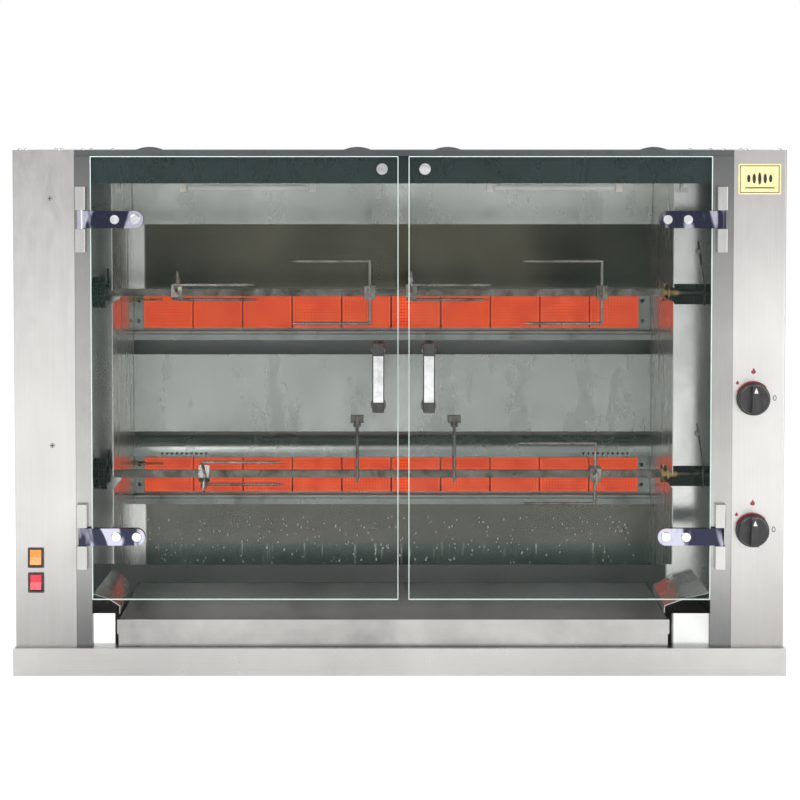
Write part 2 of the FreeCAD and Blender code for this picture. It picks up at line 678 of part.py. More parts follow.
def spit_latch(z):
    """A bent wire that hangs from its eye across the spit's slot."""
    pivot_z = z + LATCH_PIVOT_UP
    d = 0.5 * (LATCH_D[0] + LATCH_D[1])
    wire = pipe([(LATCH_X - 1.5, d, pivot_z + 17), (LATCH_X + 9, d, z + 14),
                 (LATCH_X + 9, d, z - 22)], 1.5)
    eye = rod_y(LATCH_X - 1.0, LATCH_D[0], LATCH_D[1], pivot_z, 4.6)
    bore = rod_y(LATCH_X - 1.0, LATCH_D[0] - 1, LATCH_D[1] + 1, pivot_z, 2.0 + RUNNING)
    return fuse([wire, eye]).cut(bore)


# ---- doors ----------------------------------------------------------------------------------
def hinge_blocks():
    blocks = []
    for axis_x in (LEFT_HINGE_X, RIGHT_HINGE_X):
        for z in HINGE_Z:
            for low in (z + 0.5 * KNUCKLE_H + 0.3, z - 0.5 * KNUCKLE_H - 0.3 - 37.5):
                block = box(axis_x - 8.5, axis_x + 8.5, -12, 2, low, low + 37.5)
                block = round_edges(block, Z_AXIS, 2.0, lambda c: c.y < FRONT_Y - 5)
                hole = rod_z(axis_x, HINGE_D, low - 1, low + 40, PIN_R)
                blocks.append(block.cut(hole))
    return blocks


def hinge_pins():
    pins = []
    for axis_x in (LEFT_HINGE_X, RIGHT_HINGE_X):
        for z in HINGE_Z:
            reach = 0.5 * KNUCKLE_H + 37.8
            pins.append(rod_z(axis_x, HINGE_D, z - reach, z + reach, PIN_R))
    return pins


def door_holes(side, axis_x, r):
    """Screw holes of one door: two per hinge, and one for the catch stud."""
    holes = []
    for z in HINGE_Z:
        for offset in CAP_OFFSETS:
            holes.append(rod_y(axis_x + side * offset, -20, 20, z, r))
    holes.append(rod_y(DOOR_MIDDLE_X - side * CATCH_X, -20, 20, CATCH_Z, r))
    return holes


def door_glass(side, axis_x, glass_x):
    """side is +1 for the door hinged on the left and -1 for the other."""
    pane = box(glass_x[0], glass_x[1], GLASS_FRONT_D, GLASS_BACK_D, GLASS_Z[0], GLASS_Z[1])
    pane = round_edges(pane, Y_AXIS, 2.5, lambda c: True)
    holes = door_holes(side, axis_x, 3.6)
    handle_x = DOOR_MIDDLE_X - side * HANDLE_X
    for z in (HANDLE_Z[0] + 9, HANDLE_Z[1] - 9):
        holes.append(rod_y(handle_x, -20, 20, z, 3.1))
    return cut(pane, holes)


def door_straps(side, axis_x):
    """Hinge straps with their knuckles in front of the glass, and the plates behind it."""
    solids = []
    half = 0.5 * STRAP_H
    for z in HINGE_Z:
        near = axis_x
        far = axis_x + side * (STRAP_FREE_X - half)
        x0, x1 = sorted((near, far))
        knuckle = rod_z(axis_x, HINGE_D, z - 0.5 * KNUCKLE_H, z + 0.5 * KNUCKLE_H, KNUCKLE_R)
        strap = fuse([box(x0, x1, -10, GLASS_FRONT_D, z - half, z + half),
                      rod_y(far, -10, GLASS_FRONT_D, z, half), knuckle])
        strap = strap.cut(rod_z(axis_x, HINGE_D, z - 30, z + 30, PIN_R + RUNNING))
        x0, x1 = sorted((axis_x + side * 20, far))
        plate = fuse([box(x0, x1, GLASS_BACK_D, 1.5, z - half, z + half),
                      rod_y(far, GLASS_BACK_D, 1.5, z, half)])
        solids.append(cut(strap, door_holes(side, axis_x, 3.5)))
        solids.append(cut(plate, door_holes(side, axis_x, 3.5)))
    return solids


def door_trim(side, axis_x):
    """Round-headed screws through the straps, the catch stud, and the handle's bright strip."""
    solids = []
    for z in HINGE_Z:
        for offset in CAP_OFFSETS:
            x = axis_x + side * offset
            cap = Part.makeCone(7.2, 8.4, 2.6, V(x, FRONT_Y - 12.6, z), Y_AXIS)
            solids.append(fuse([cap, rod_y(x, -10, 1.5, z, 3.5)]))
    x = DOOR_MIDDLE_X - side * CATCH_X
    solids.append(fuse([rod_y(x, -11, GLASS_FRONT_D, CATCH_Z, 9.0),
                        rod_y(x, GLASS_FRONT_D, GLASS_BACK_D, CATCH_Z, 3.5),
                        rod_y(x, GLASS_BACK_D, 1.2, CATCH_Z, 9.0)]))
    x = DOOR_MIDDLE_X - side * HANDLE_X
    low = HANDLE_Z[0] + 17
    strip = box(x - 8, x + 8, -47.5, -45.5, low, low + 74)
    solids.append(round_edges(strip, Z_AXIS, 0.9, lambda c: c.y < FRONT_Y - 46.5))
    return solids


def door_handle(side):
    """A grip bar on two flared feet, with room for fingers behind it."""
    x = DOOR_MIDDLE_X - side * HANDLE_X
    z0, z1 = HANDLE_Z
    bar = box(x - 9.5, x + 9.5, -45.5, -31, z0, z1)
    bar = round_edges(bar, Z_AXIS, 3.0, lambda c: True)
    shapes = [bar]
    for foot_z in (z0 + 9, z1 - 9):
        shapes.append(Part.makeCone(12.5, 8.0, 25, V(x, FRONT_Y + GLASS_FRONT_D, foot_z),
                                    V(0, -1, 0)))
        shapes.append(rod_y(x, GLASS_FRONT_D, GLASS_BACK_D, foot_z, 3.1))
        shapes.append(rod_y(x, GLASS_BACK_D, 1.0, foot_z, 7.0))
    return fuse(shapes)


def door_magnets():
    return [rod_y(DOOR_MIDDLE_X + x, 2.0, HEADER_D, CATCH_Z, 8.0) for x in (-CATCH_X, CATCH_X)]


# ---- controls -------------------------------------------------------------------------------
def knob_bezels():
    return [rod_y(TAP_X, -4, 0, z, 27.0).cut(rod_y(TAP_X, -5, 1, z, SPINDLE_R + 1.5))
            for z in TAP_Z]


def tap_spindle(z):
    return rod_y(TAP_X, -26, 30, z, SPINDLE_R)


def tap_knob(z):
    """A round skirt with a raised grip bar that narrows to the pointer end."""
    skirt = rod_y(TAP_X, -14, -8, z, 26.0)
    crown = Part.makeCone(25.0, 23.0, 8, V(TAP_X, FRONT_Y - 14, z), V(0, -1, 0))
    grip = prism_y([(TAP_X - 6.5, z - 22), (TAP_X + 6.5, z - 22), (TAP_X + 5, z + 23.5),
                    (TAP_X - 5, z + 23.5)], -37, -20)
    bore = rod_y(TAP_X, -26, 0, z, SPINDLE_R)
    return fuse([skirt, crown, grip]).cut(bore)


def switch_housings():
    """Black snap-in frames, open through the middle for the rockers."""
    frames = []
    for z in SWITCH_Z:
        rim = box(SWITCH_X - 13, SWITCH_X + 13, -2.0, 0, z - 16.4, z + 16.4)
        rim = round_edges(rim, Y_AXIS, 1.5, lambda c: True)
        body = box(SWITCH_X - 11, SWITCH_X + 11, 0, 26, z - 14.5, z + 14.5)
        well = box(SWITCH_X - 9.6, SWITCH_X + 9.6, -3, 14, z - 13.4, z + 13.4)
        frames.append(fuse([rim, body]).cut(well))
    return frames


def rocker(z):
    """A shallow V-faced rocker, resting with its lower half pressed in."""
    profile = [(-7.5, z - 12.2), (-5.2, z), (-7.5, z + 12.2), (3.0, z + 11.6),
               (9.0, z + 4.0), (9.0, z - 4.0), (3.0, z - 11.6)]
    body = prism_x([(d + 2.0, h) for d, h in profile], SWITCH_X - 9.0, SWITCH_X + 9.0)
    body.rotate(V(SWITCH_X, FRONT_Y + ROCKER_D, z), X_AXIS, -ROCKER_TILT)
    return body


# ---- tray, lamps, badge, pads and fasteners -------------------------------------------------
def drip_tray():
    x0 = -458.0
    x1 = 437.5
    floor_z = BASE_H + 0.5
    body = box(x0 + 2, x1 - 2, 6, 342, floor_z, 88)
    hollow = box(x0 + 2 + SHEET, x1 - 2 - SHEET, 6 + SHEET, 342 - SHEET, floor_z + SHEET, 95)
    rim = box(x0, x1, 2, 346, 88, 89.5)
    lip = box(x0, x1, 2, 2 + SHEET, 66, 89.5)
    return fuse([body, rim, lip]).cut(hollow)


def lamp_tubes():
    tubes = []
    for x0, x1 in LAMP_X:
        ends = [ball(x, LAMP_D, LAMP_Z, 5.0) for x in (x0 + 5, x1 - 5)]
        tubes.append(fuse([rod_x(x0 + 5, x1 - 5, LAMP_D, LAMP_Z, 5.0)] + ends))
    return tubes


def lamp_holders():
    holders = []
    for x0, x1 in LAMP_X:
        for low in (x0 - 10, x1):
            foot = box(low, low + 10, LAMP_D - 8, LAMP_D + 8, LAMP_Z - 7, CEILING_Z - SHEET)
            holders.append(foot)
    return holders


def badge():
    plate = box(543.7, 612.3, -1.2, 0, 778.7, 827.7)
    return [round_edges(plate, Y_AXIS, 2.0, lambda c: True)]


def top_pads():
    pads = []
    for x in (-407.0, -68.4, 78.4, 414.0):
        pad = Part.makeSphere(56.0, V(x, FRONT_Y + 60, HEIGHT - 51.0))
        pads.append(pad.common(rod_z(x, 60, HEIGHT, HEIGHT + 6, 30)))
    return pads


def cover_screws():
    """Screw heads on the lids and the left column, latch studs and header wing nuts."""
    screws = []
    for x in (-612.0, -602.0, -549.0, -510.0, 522.0, 558.0, 612.0):
        for d in (14.0, 455.0):
            dome = ball(x, d, HEIGHT - 3.2, 5.2)
            screws.append(dome.common(rod_z(x, d, HEIGHT, HEIGHT + 3, 5)))
    for x, z in ((-562.0, 772.0), (-560.6, 373.4)):
        head = rod_y(x, -1.6, 0, z, 4.0)
        screws.append(cut(head, [box(x - 5, x + 5, -2, -1, z - 0.5, z + 0.5),
                                 box(x - 0.5, x + 0.5, -2, -1, z - 5, z + 5)]))
    for z in (UPPER_Z, LOWER_Z):
        pivot_z = z + LATCH_PIVOT_UP
        x = LATCH_X - 1.0
        screws.append(fuse([rod_y(x, LATCH_D[0] - 1, CHAMBER_D, pivot_z, 2.0),
                            rod_y(x, LATCH_D[0] - 2.5, LATCH_D[0] - 1, pivot_z, 4.0),
                            rod_y(x, LATCH_D[1] + 0.6, CHAMBER_D, pivot_z, 4.0)]))
    for x in (-449.0, 456.0):
        stud = rod_z(x, 30, LAMP_Z - 2, CEILING_Z - SHEET, 3)
        wings = box(x - 11, x + 11, 29, 31, LAMP_Z - 8, LAMP_Z)
        screws.append(fuse([stud, wings]))
    return screws


# ---- the whole oven -------------------------------------------------------------------------
def main():
    os.makedirs("parts", exist_ok=True)
    save("base_pan", base_pan())
    save("left_column_cover", left_column_cover())
    save("right_column_cover", right_column_cover())
    save("door_frames", frame_walls() + door_posts())
    save("top_cover", top_cover())
    save("header_rail", header_rail())
    save("rear_panel", rear_panel())
    save("left_side_plate", left_side_plate())
    save("right_side_plate", right_side_plate())
    save("liner_panels", liner_panels())
    save("reflectors", reflectors())
    save("drip_wings", drip_wings())
    save("burner_housings", burner_housings())
    save("burner_tiles", burner_tiles())
    save("gas_taps", gas_taps())
    save("gas_pipes", gas_pipes())
    save("burner_jets_and_probes", injectors() + thermocouples())
    save("cable_gland", cable_gland())
    save("gear_motor", gear_motor())
    save("motor_sprocket", motor_sprocket())
    save("drive_brackets", drive_brackets())
    save("drive_chain", drive_chain())
    for level, z in (("upper", UPPER_Z), ("lower", LOWER_Z)):
        save(level + "_drive", spit_drive(z))
        save(level + "_bush", [bush(z)])
        save(level + "_spit_latch", [spit_latch(z)])
    save("upper_spit", [spit(UPPER_Z)])
    save("lower_spit", [spit(LOWER_Z), brace_bolt(-70.0, LOWER_Z), brace_bolt(91.6, LOWER_Z)])
    forks = (("upper", UPPER_Z, ((-369.0, 1, -107.0), (-49.0, -1, 0.0),
                                 (20.0, 1, -107.0), (337.0, -1, 0.0))),
             ("lower", LOWER_Z, ((-325.0, 1, 62.0), (327.0, -1, 8.0))))
    for level, z, places in forks:
        for number, (x, heading, tilt) in enumerate(places, 1):
            save(level + "_fork_%d" % number, fork(x, z, heading, tilt))
    doors = (("left", 1, LEFT_HINGE_X, LEFT_GLASS_X), ("right", -1, RIGHT_HINGE_X, RIGHT_GLASS_X))
    for name, side, axis_x, glass_x in doors:
        save(name + "_door_glass", [door_glass(side, axis_x, glass_x)])
        save(name + "_door_straps", door_straps(side, axis_x))
        save(name + "_door_trim", door_trim(side, axis_x))
        save(name + "_door_handle", [door_handle(side)])
    save("hinge_blocks", hinge_blocks() + hinge_pins())
    save("door_magnets", door_magnets())
    save("knob_bezels", knob_bezels())
    for level, z in zip(("upper", "lower"), TAP_Z):
        save(level + "_tap_spindle", [tap_spindle(z)])
        save(level + "_knob", [tap_knob(z)])
    save("switch_housings", switch_housings())
    save("amber_rocker", [rocker(SWITCH_Z[0])])
    save("red_rocker", [rocker(SWITCH_Z[1])])
    save("drip_tray", [drip_tray()])
    save("lamp_tubes", lamp_tubes())
    save("lamp_holders", lamp_holders())
    save("badge", badge())
    save("top_pads", top_pads())
    save("cover_screws", cover_screws())


if __name__ == "__main__":
    main()
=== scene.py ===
import math

import bmesh
import bpy
from bpy.props import FloatProperty, FloatVectorProperty, IntProperty, PointerProperty
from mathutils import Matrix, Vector


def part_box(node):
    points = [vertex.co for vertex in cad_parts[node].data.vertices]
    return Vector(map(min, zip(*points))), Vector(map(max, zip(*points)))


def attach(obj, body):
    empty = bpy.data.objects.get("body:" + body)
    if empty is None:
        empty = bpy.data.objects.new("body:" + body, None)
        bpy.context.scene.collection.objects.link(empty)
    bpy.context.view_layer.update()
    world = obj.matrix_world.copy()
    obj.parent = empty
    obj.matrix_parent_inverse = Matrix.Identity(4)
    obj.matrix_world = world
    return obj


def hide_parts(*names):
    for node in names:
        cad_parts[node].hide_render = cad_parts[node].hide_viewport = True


bl_info = {
    "name": "Rotisserie oven",
    "version": (1, 0, 0),
    "blender": (4, 5, 0),
    "location": "View3D > Sidebar > Oven",
    "description": "Dresses the frame of a two-spit gas rotisserie oven",
    "category": "Object",
}

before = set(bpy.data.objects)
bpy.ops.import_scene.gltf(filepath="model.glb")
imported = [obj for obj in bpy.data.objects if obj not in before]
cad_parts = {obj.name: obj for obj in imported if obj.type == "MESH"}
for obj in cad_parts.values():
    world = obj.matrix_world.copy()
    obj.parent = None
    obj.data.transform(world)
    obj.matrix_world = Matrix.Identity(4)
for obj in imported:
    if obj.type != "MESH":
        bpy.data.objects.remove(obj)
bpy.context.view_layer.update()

FRONT_Y = -0.238                   # front face of both columns
PRINT_DEPTHS = (FRONT_Y - 0.00018, FRONT_Y - 0.00002)
GRIP_FRONT_Y = FRONT_Y - 0.0373
SPIT_Y = FRONT_Y + 0.130
SPIT_HEIGHTS = (0.3106, 0.6133)
MOTOR_Y = FRONT_Y + 0.215
MOTOR_Z = 0.46195
SPIT_SPROCKET_R = 0.030
MOTOR_SPROCKET_R = 0.020
CHAIN_CLEARANCE = 0.0025           # from a sprocket's tips to the chain's middle
LID_SCREW_X = (-0.612, -0.602, -0.549, -0.510, 0.522, 0.558, 0.612)
LID_SCREW_Y = (FRONT_Y + 0.014, FRONT_Y + 0.455)
COLUMN_SCREWS = ((-0.562, 0.772), (-0.5606, 0.3734))
WET_WALL_Y = 0.1118
WET_WALL_X = (-0.440, 0.420)
WET_WALL_Z = (0.122, 0.205)
SIDE_PLATE_X = (0.442, 0.446)      # the back wall lies inside this, the end panels outside

PARTS_BY_FINISH = {
    "column_steel": ("left_column_cover", "right_column_cover"),
    "post_steel": ("door_frames",),
    "base_steel": ("base_pan", "door_magnets"),
    "lid_steel": ("top_cover",),
    "rear_steel": ("rear_panel", "drive_brackets"),
    "tray_steel": ("drip_tray",),
    "dark_rail_steel": ("header_rail",),
    "side_steel": ("left_side_plate", "right_side_plate"),
    "chamber_steel": ("liner_panels",),
    "reflector_steel": ("reflectors",),
    "burner_steel": ("burner_housings",),
    "wing_steel": ("drip_wings",),
    "hinge_steel": ("hinge_blocks",),
    "bolt_steel": ("upper_tap_spindle", "lower_tap_spindle", "cover_screws"),
    "strap_mirror": ("left_door_straps", "right_door_straps"),
    "bright_steel": ("left_door_trim", "right_door_trim"),
    "seared_steel": ("upper_spit", "lower_spit", "upper_spit_latch", "lower_spit_latch"),
    "fork_steel": (
        "upper_fork_1", "upper_fork_2", "upper_fork_3", "upper_fork_4", "lower_fork_1",
        "lower_fork_2"),
    "worn_brass": ("upper_bush", "lower_bush", "burner_jets_and_probes", "gas_pipes"),
    "cast_aluminium": ("gas_taps",),
    "motor_enamel": ("gear_motor",),
    "oiled_iron": ("motor_sprocket", "upper_drive", "lower_drive", "drive_chain"),
    "door_glass": ("left_door_glass", "right_door_glass"),
    "glowing_tile": ("burner_tiles",),
    "handle_plastic": ("left_door_handle", "right_door_handle"),
    "knob_plastic": ("knob_bezels", "upper_knob", "lower_knob", "switch_housings", "cable_gland"),
    "amber_lens": ("amber_rocker",),
    "red_lens": ("red_rocker",),
    "lamp_quartz": ("lamp_tubes",),
    "lamp_ceramic": ("lamp_holders",),
    "plate_enamel": ("badge",),
    "soft_rubber": ("top_pads",),
}
FINISH_OF_PART = {part: finish for finish, parts in PARTS_BY_FINISH.items() for part in parts}

KNOBS = {
    "upper": {"x": 0.570, "z": 0.4495, "body": "upper_tap_knob"},
    "lower": {"x": 0.570, "z": 0.236, "body": "lower_tap_knob"},
}

TILE_ROWS = ((0.538, 0.597), (0.250, 0.309))


# ---- Sizes and colours ---------------------------------------------------------------------------

def length_property(name, description, default, low, high):
    """A length that the user may change."""
    return FloatProperty(name=name, description=description, default=default, min=low, max=high,
                         precision=4, subtype="DISTANCE", unit="LENGTH")


class OvenSizes(bpy.types.PropertyGroup):
    """Sizes of the pieces that are added to the frame"""
    glass_edge: length_property(
        "Glass edge", "Width of the polished bevel round each door glass", 0.0012, 0.0002, 0.002)
    tile_gap: length_property(
        "Tile gap", "Gap between two ceramic burner tiles", 0.0032, 0.0005, 0.01)
    tile_count: IntProperty(
        name="Tiles in a row", description="Ceramic tiles in one burner", default=10, min=1, max=20)
    hole_pitch: length_property(
        "Flame hole pitch", "Distance between two flame holes of a tile", 0.0052, 0.003, 0.02)
    hole_radius: length_property(
        "Flame hole radius", "Radius of one flame hole", 0.0011, 0.0004, 0.003)
    rib_count: IntProperty(
        name="Knob ribs", description="Grip ribs round the skirt of one knob",
        default=40, min=8, max=80)
    slot_length: length_property(
        "Screw slot", "Length of one arm of a screw's cross slot", 0.0046, 0.001, 0.008)
    link_pitch: length_property(
        "Chain pitch", "Distance between two rollers of the drive chain", 0.0095, 0.005, 0.02)
    drop_count: IntProperty(
        name="Grease drops", description="Drops of fat on the wall above the tray",
        default=260, min=0, max=1000)
    drop_radius: length_property(
        "Drop radius", "Radius of the largest drop of fat", 0.0016, 0.0005, 0.005)


def colour_property(name, description, default):
    """A colour that the user may change."""
    return FloatVectorProperty(
        name=name, description=description, default=default, min=0.0, max=1.0, size=3,
        subtype="COLOR")


class OvenColours(bpy.types.PropertyGroup):
    """Colours of the oven's finishes"""
    casing: colour_property(
        "Casing steel", "Satin steel of the columns, base and tray", (0.70, 0.69, 0.665))
    chamber: colour_property(
        "Chamber steel", "Steel of the cooking chamber's walls", (0.47, 0.50, 0.47))
    header: colour_property(
        "Header steel", "Dark rail above the doors", (0.045, 0.060, 0.060))
    glass: colour_property(
        "Glass", "Tint of the door glass", (0.030, 0.060, 0.050))
    glow: colour_property(
        "Burner glow", "Light of a hot burner tile", (1.0, 0.085, 0.014))
    plastic: colour_property(
        "Black plastic", "Knobs, handles and switch housings", (0.018, 0.017, 0.017))
    arc: colour_property(
        "Red mark", "Red arc round each knob", (0.30, 0.015, 0.03))
    amber: colour_property(
        "Amber rocker", "Lens of the lamp switch", (0.75, 0.24, 0.02))
    red: colour_property(
        "Red rocker", "Lens of the motor switch", (0.62, 0.006, 0.03))
    badge: colour_property(
        "Plate", "Enamelled plate at the top of the right column", (0.83, 0.75, 0.36))


# ---- Node tree helpers ---------------------------------------------------------------------------

def start_finish(name, **inputs):
    """A new material, its tree and its shader, with the shader's constants set."""
    material = bpy.data.materials.new(name)
    material.use_nodes = True
    tree = material.node_tree
    shader = next(n for n in tree.nodes if n.type == "BSDF_PRINCIPLED")
    for socket, value in inputs.items():
        shader.inputs[socket.replace("_", " ")].default_value = value
    return material, tree, shader


def add_node(tree, kind, **settings):
    """One node with its settings."""
    made = tree.nodes.new(kind)
    for key, value in settings.items():
        setattr(made, key, value)
    return made


def rgba(colour):
    """A colour with full opacity."""
    return (colour[0], colour[1], colour[2], 1.0)


def darker(colour, factor):
    """The colour times a factor."""
    return tuple(min(1.0, channel * factor) for channel in colour)


def stretched(tree, per_metre, place=(0.0, 0.0, 0.0)):
    """Object coordinates times a number of waves per metre on each axis."""
    coords = add_node(tree, "ShaderNodeTexCoord")
    mapping = add_node(tree, "ShaderNodeMapping")
    mapping.inputs["Scale"].default_value = per_metre
    mapping.inputs["Location"].default_value = place
    tree.links.new(coords.outputs["Object"], mapping.inputs["Vector"])
    return mapping.outputs["Vector"]


def noise(tree, per_metre, detail=3.0, roughness=0.55, distortion=0.0):
    """A noise pattern at a real scale."""
    texture = add_node(tree, "ShaderNodeTexNoise")
    texture.inputs["Scale"].default_value = 1.0
    texture.inputs["Detail"].default_value = detail
    texture.inputs["Roughness"].default_value = roughness
    texture.inputs["Distortion"].default_value = distortion
    tree.links.new(stretched(tree, per_metre), texture.inputs["Vector"])
    return texture.outputs["Fac"]


def height_of(tree, axis="Z"):
    """One object coordinate."""
    coords = add_node(tree, "ShaderNodeTexCoord")
    split = add_node(tree, "ShaderNodeSeparateXYZ")
    tree.links.new(coords.outputs["Object"], split.inputs["Vector"])
    return split.outputs[axis]


def ranged(tree, value, low, high, to_low=0.0, to_high=1.0, smooth=False):
    """The value moved from one range to another, and held at its ends."""
    kind = "SMOOTHSTEP" if smooth else "LINEAR"
    mapped = add_node(tree, "ShaderNodeMapRange", interpolation_type=kind)
    mapped.inputs["From Min"].default_value = low
    mapped.inputs["From Max"].default_value = high
    mapped.inputs["To Min"].default_value = to_low
    mapped.inputs["To Max"].default_value = to_high
    tree.links.new(value, mapped.inputs["Value"])
    return mapped.outputs["Result"]


def times(tree, first, second):
    """The product of two values."""
    product = add_node(tree, "ShaderNodeMath", operation="MULTIPLY")
    for socket, value in zip(product.inputs, (first, second)):
        if isinstance(value, (int, float)):
            socket.default_value = value
        else:
            tree.links.new(value, socket)
    return product.outputs["Value"]


def mixed(tree, factor, first, second, mode="MIX"):
    """Two colours mixed by a factor."""
    mix = add_node(tree, "ShaderNodeMix", data_type="RGBA", blend_type=mode)
    for index, value in ((0, factor), (6, first), (7, second)):
        socket = mix.inputs[index]
        if isinstance(value, (int, float)):
            socket.default_value = value
        elif isinstance(value, tuple):
            socket.default_value = rgba(value)
        else:
            tree.links.new(value, socket)
    return mix.outputs[2]


def raise_surface(tree, shader, height, depth, strength=1.0):
    """Relief of a real depth."""
    bump = add_node(tree, "ShaderNodeBump")
    bump.inputs["Strength"].default_value = strength
    bump.inputs["Distance"].default_value = depth
    tree.links.new(height, bump.inputs["Height"])
    tree.links.new(bump.outputs["Normal"], shader.inputs["Normal"])


# ---- Finishes ------------------------------------------------------------------------------------

GRAIN = {"X": (5.0, 900.0, 900.0), "Z": (900.0, 900.0, 5.0), "Y": (900.0, 5.0, 900.0)}


def steel(name, colour, roughness, along="X", shade=0.82, cloud=3.0, metallic=1.0, depth=2e-5,
          painted_shade=None):
    """Rolled sheet steel: fine grain along one axis, slow clouds in tone and gloss, and a
    painted shade that deepens towards the top and the foot."""
    material, tree, shader = start_finish(name, Metallic=metallic)
    grain = noise(tree, GRAIN[along], 2.0)
    clouds = noise(tree, (cloud, cloud, cloud), 4.0, 0.6, 0.4)
    smears = noise(tree, (cloud * 9, cloud * 9, cloud * 4), 5.0, 0.65, 1.2)
    tone = mixed(tree, ranged(tree, clouds, 0.32, 0.68), darker(colour, shade), tuple(colour))
    fine = mixed(tree, ranged(tree, grain, 0.25, 0.75), (0.92, 0.92, 0.92), (1.0, 1.0, 1.0))
    tone = mixed(tree, 1.0, tone, fine, "MULTIPLY")
    # Painted shade: the tone is darkened towards the top and the foot, standing in for the dimmer
    # reflection there.
    if painted_shade:
        up = height_of(tree)
        dull = mixed(tree, ranged(tree, up, 0.50, 0.90, smooth=True), (1.0, 1.0, 1.0), painted_shade)
        tone = mixed(tree, 1.0, tone, dull, "MULTIPLY")
        low = mixed(tree, ranged(tree, up, 0.30, 0.02, smooth=True), (1.0, 1.0, 1.0), painted_shade)
        tone = mixed(tree, 1.0, tone, low, "MULTIPLY")
    tree.links.new(tone, shader.inputs["Base Color"])
    gloss = ranged(tree, smears, 0.35, 0.7, roughness * 0.82, roughness * 1.18)
    tree.links.new(gloss, shader.inputs["Roughness"])
    raise_surface(tree, shader, grain, depth, 0.5)
    return material


def stained_steel(name, colour, stain, roughness, amount=0.6, along="Z", run=6.0):
    """Chamber steel that heat has tinted and fat has run down."""
    material, tree, shader = start_finish(name, Metallic=0.92)
    grain = noise(tree, GRAIN[along], 2.0)
    clouds = noise(tree, (2.6, 2.6, 3.4), 5.0, 0.6, 0.8)
    runs = noise(tree, (26.0, 26.0, run), 4.0, 0.6, 0.3)
    spots = noise(tree, (95.0, 95.0, 95.0), 3.0, 0.6)
    tone = mixed(tree, ranged(tree, clouds, 0.35, 0.65), darker(colour, 0.80), tuple(colour))
    fat = ranged(tree, runs, 0.56, 0.80, 0.0, amount)
    tone = mixed(tree, fat, tone, tuple(stain))
    specks = ranged(tree, spots, 0.64, 0.70, 0.0, amount * 0.7)
    tone = mixed(tree, specks, tone, darker(stain, 0.6))
    fine = mixed(tree, ranged(tree, grain, 0.25, 0.75), (0.88, 0.88, 0.88), (1.0, 1.0, 1.0))
    tree.links.new(mixed(tree, 1.0, tone, fine, "MULTIPLY"), shader.inputs["Base Color"])
    tree.links.new(
        ranged(tree, runs, 0.35, 0.72, roughness * 0.8, roughness * 1.5),
        shader.inputs["Roughness"])
    raise_surface(tree, shader, spots, 1.5e-5, 0.3)
    return material


def chamber_steel(colours):
    """The chamber's back wall and end panels: end panels painted pale as painted light, a painted
    dark reflection above the upper burner, darker low down, wet runs just over the tray.
    """
    colour = tuple(colours.chamber)
    material, tree, shader = start_finish("chamber_steel", Metallic=0.9)
    up = height_of(tree)
    clouds = noise(tree, (3.0, 3.0, 4.0), 5.0, 0.6, 0.8)
    runs = noise(tree, (150.0, 150.0, 9.0), 4.0, 0.62, 0.2)
    spots = noise(tree, (160.0, 160.0, 160.0), 3.0, 0.6)
    across = add_node(tree, "ShaderNodeMath", operation="ABSOLUTE")
    tree.links.new(height_of(tree, "X"), across.inputs[0])
    ends = ranged(tree, across.outputs["Value"], *SIDE_PLATE_X)
    middle = ranged(tree, across.outputs["Value"], *reversed(SIDE_PLATE_X))
    # Painted light: the end panels outside the side plates are painted near-white, standing in for
    # light that their narrow recess does not get.
    plain = mixed(tree, ends, colour, (0.86, 0.87, 0.84))
    tone = mixed(tree, ranged(tree, clouds, 0.35, 0.65, 0.0, 0.30), plain, darker(colour, 0.45))
    # Painted reflection: above the upper burner the back wall is painted near-black for the dark it
    # reflects, mottled at random.
    above = times(tree, ranged(tree, up, 0.595, 0.610), middle)
    reflection_mottle = noise(tree, (2.2, 2.2, 1.2), 3.0, 0.5, 0.6)
    painted_dark_reflection = mixed(tree, ranged(tree, reflection_mottle, 0.40, 0.62), (0.034, 0.028, 0.020),
                   (0.17, 0.155, 0.105))
    tone = mixed(tree, above, tone, painted_dark_reflection)
    # Darker low down, below the lower burner.
    darker_low_down = times(tree, times(tree, ranged(tree, up, 0.30, 0.22, smooth=True), 0.86), middle)
    tone = mixed(tree, darker_low_down, tone, (0.060, 0.052, 0.038))
    wet = times(tree, ranged(tree, up, 0.160, 0.156, smooth=True), middle)
    tone = mixed(tree, wet, tone, (0.085, 0.105, 0.095))
    streak = times(tree, wet, ranged(tree, runs, 0.60, 0.68, 0.0, 0.85))
    tone = mixed(tree, streak, tone, (0.50, 0.52, 0.48))
    tree.links.new(tone, shader.inputs["Base Color"])
    tree.links.new(ranged(tree, clouds, 0.3, 0.7, 0.13, 0.28), shader.inputs["Roughness"])
    raise_surface(tree, shader, mixed(tree, 0.4, runs, spots), 3e-5, 0.35)
    return material


def mirror(name, colour, roughness):
    """Polished steel with hairline scratches and finger marks."""
    material, tree, shader = start_finish(name, Metallic=1.0)
    scratches = noise(tree, (40.0, 700.0, 700.0), 2.0)
    marks = noise(tree, (45.0, 45.0, 45.0), 4.0, 0.6, 0.8)
    tone = mixed(tree, ranged(tree, marks, 0.35, 0.65), darker(colour, 0.7), tuple(colour))
    tree.links.new(tone, shader.inputs["Base Color"])
    gloss = ranged(tree, marks, 0.4, 0.7, roughness * 0.6, roughness * 2.0)
    tree.links.new(gloss, shader.inputs["Roughness"])
    raise_surface(tree, shader, scratches, 1e-5, 0.4)
    return material


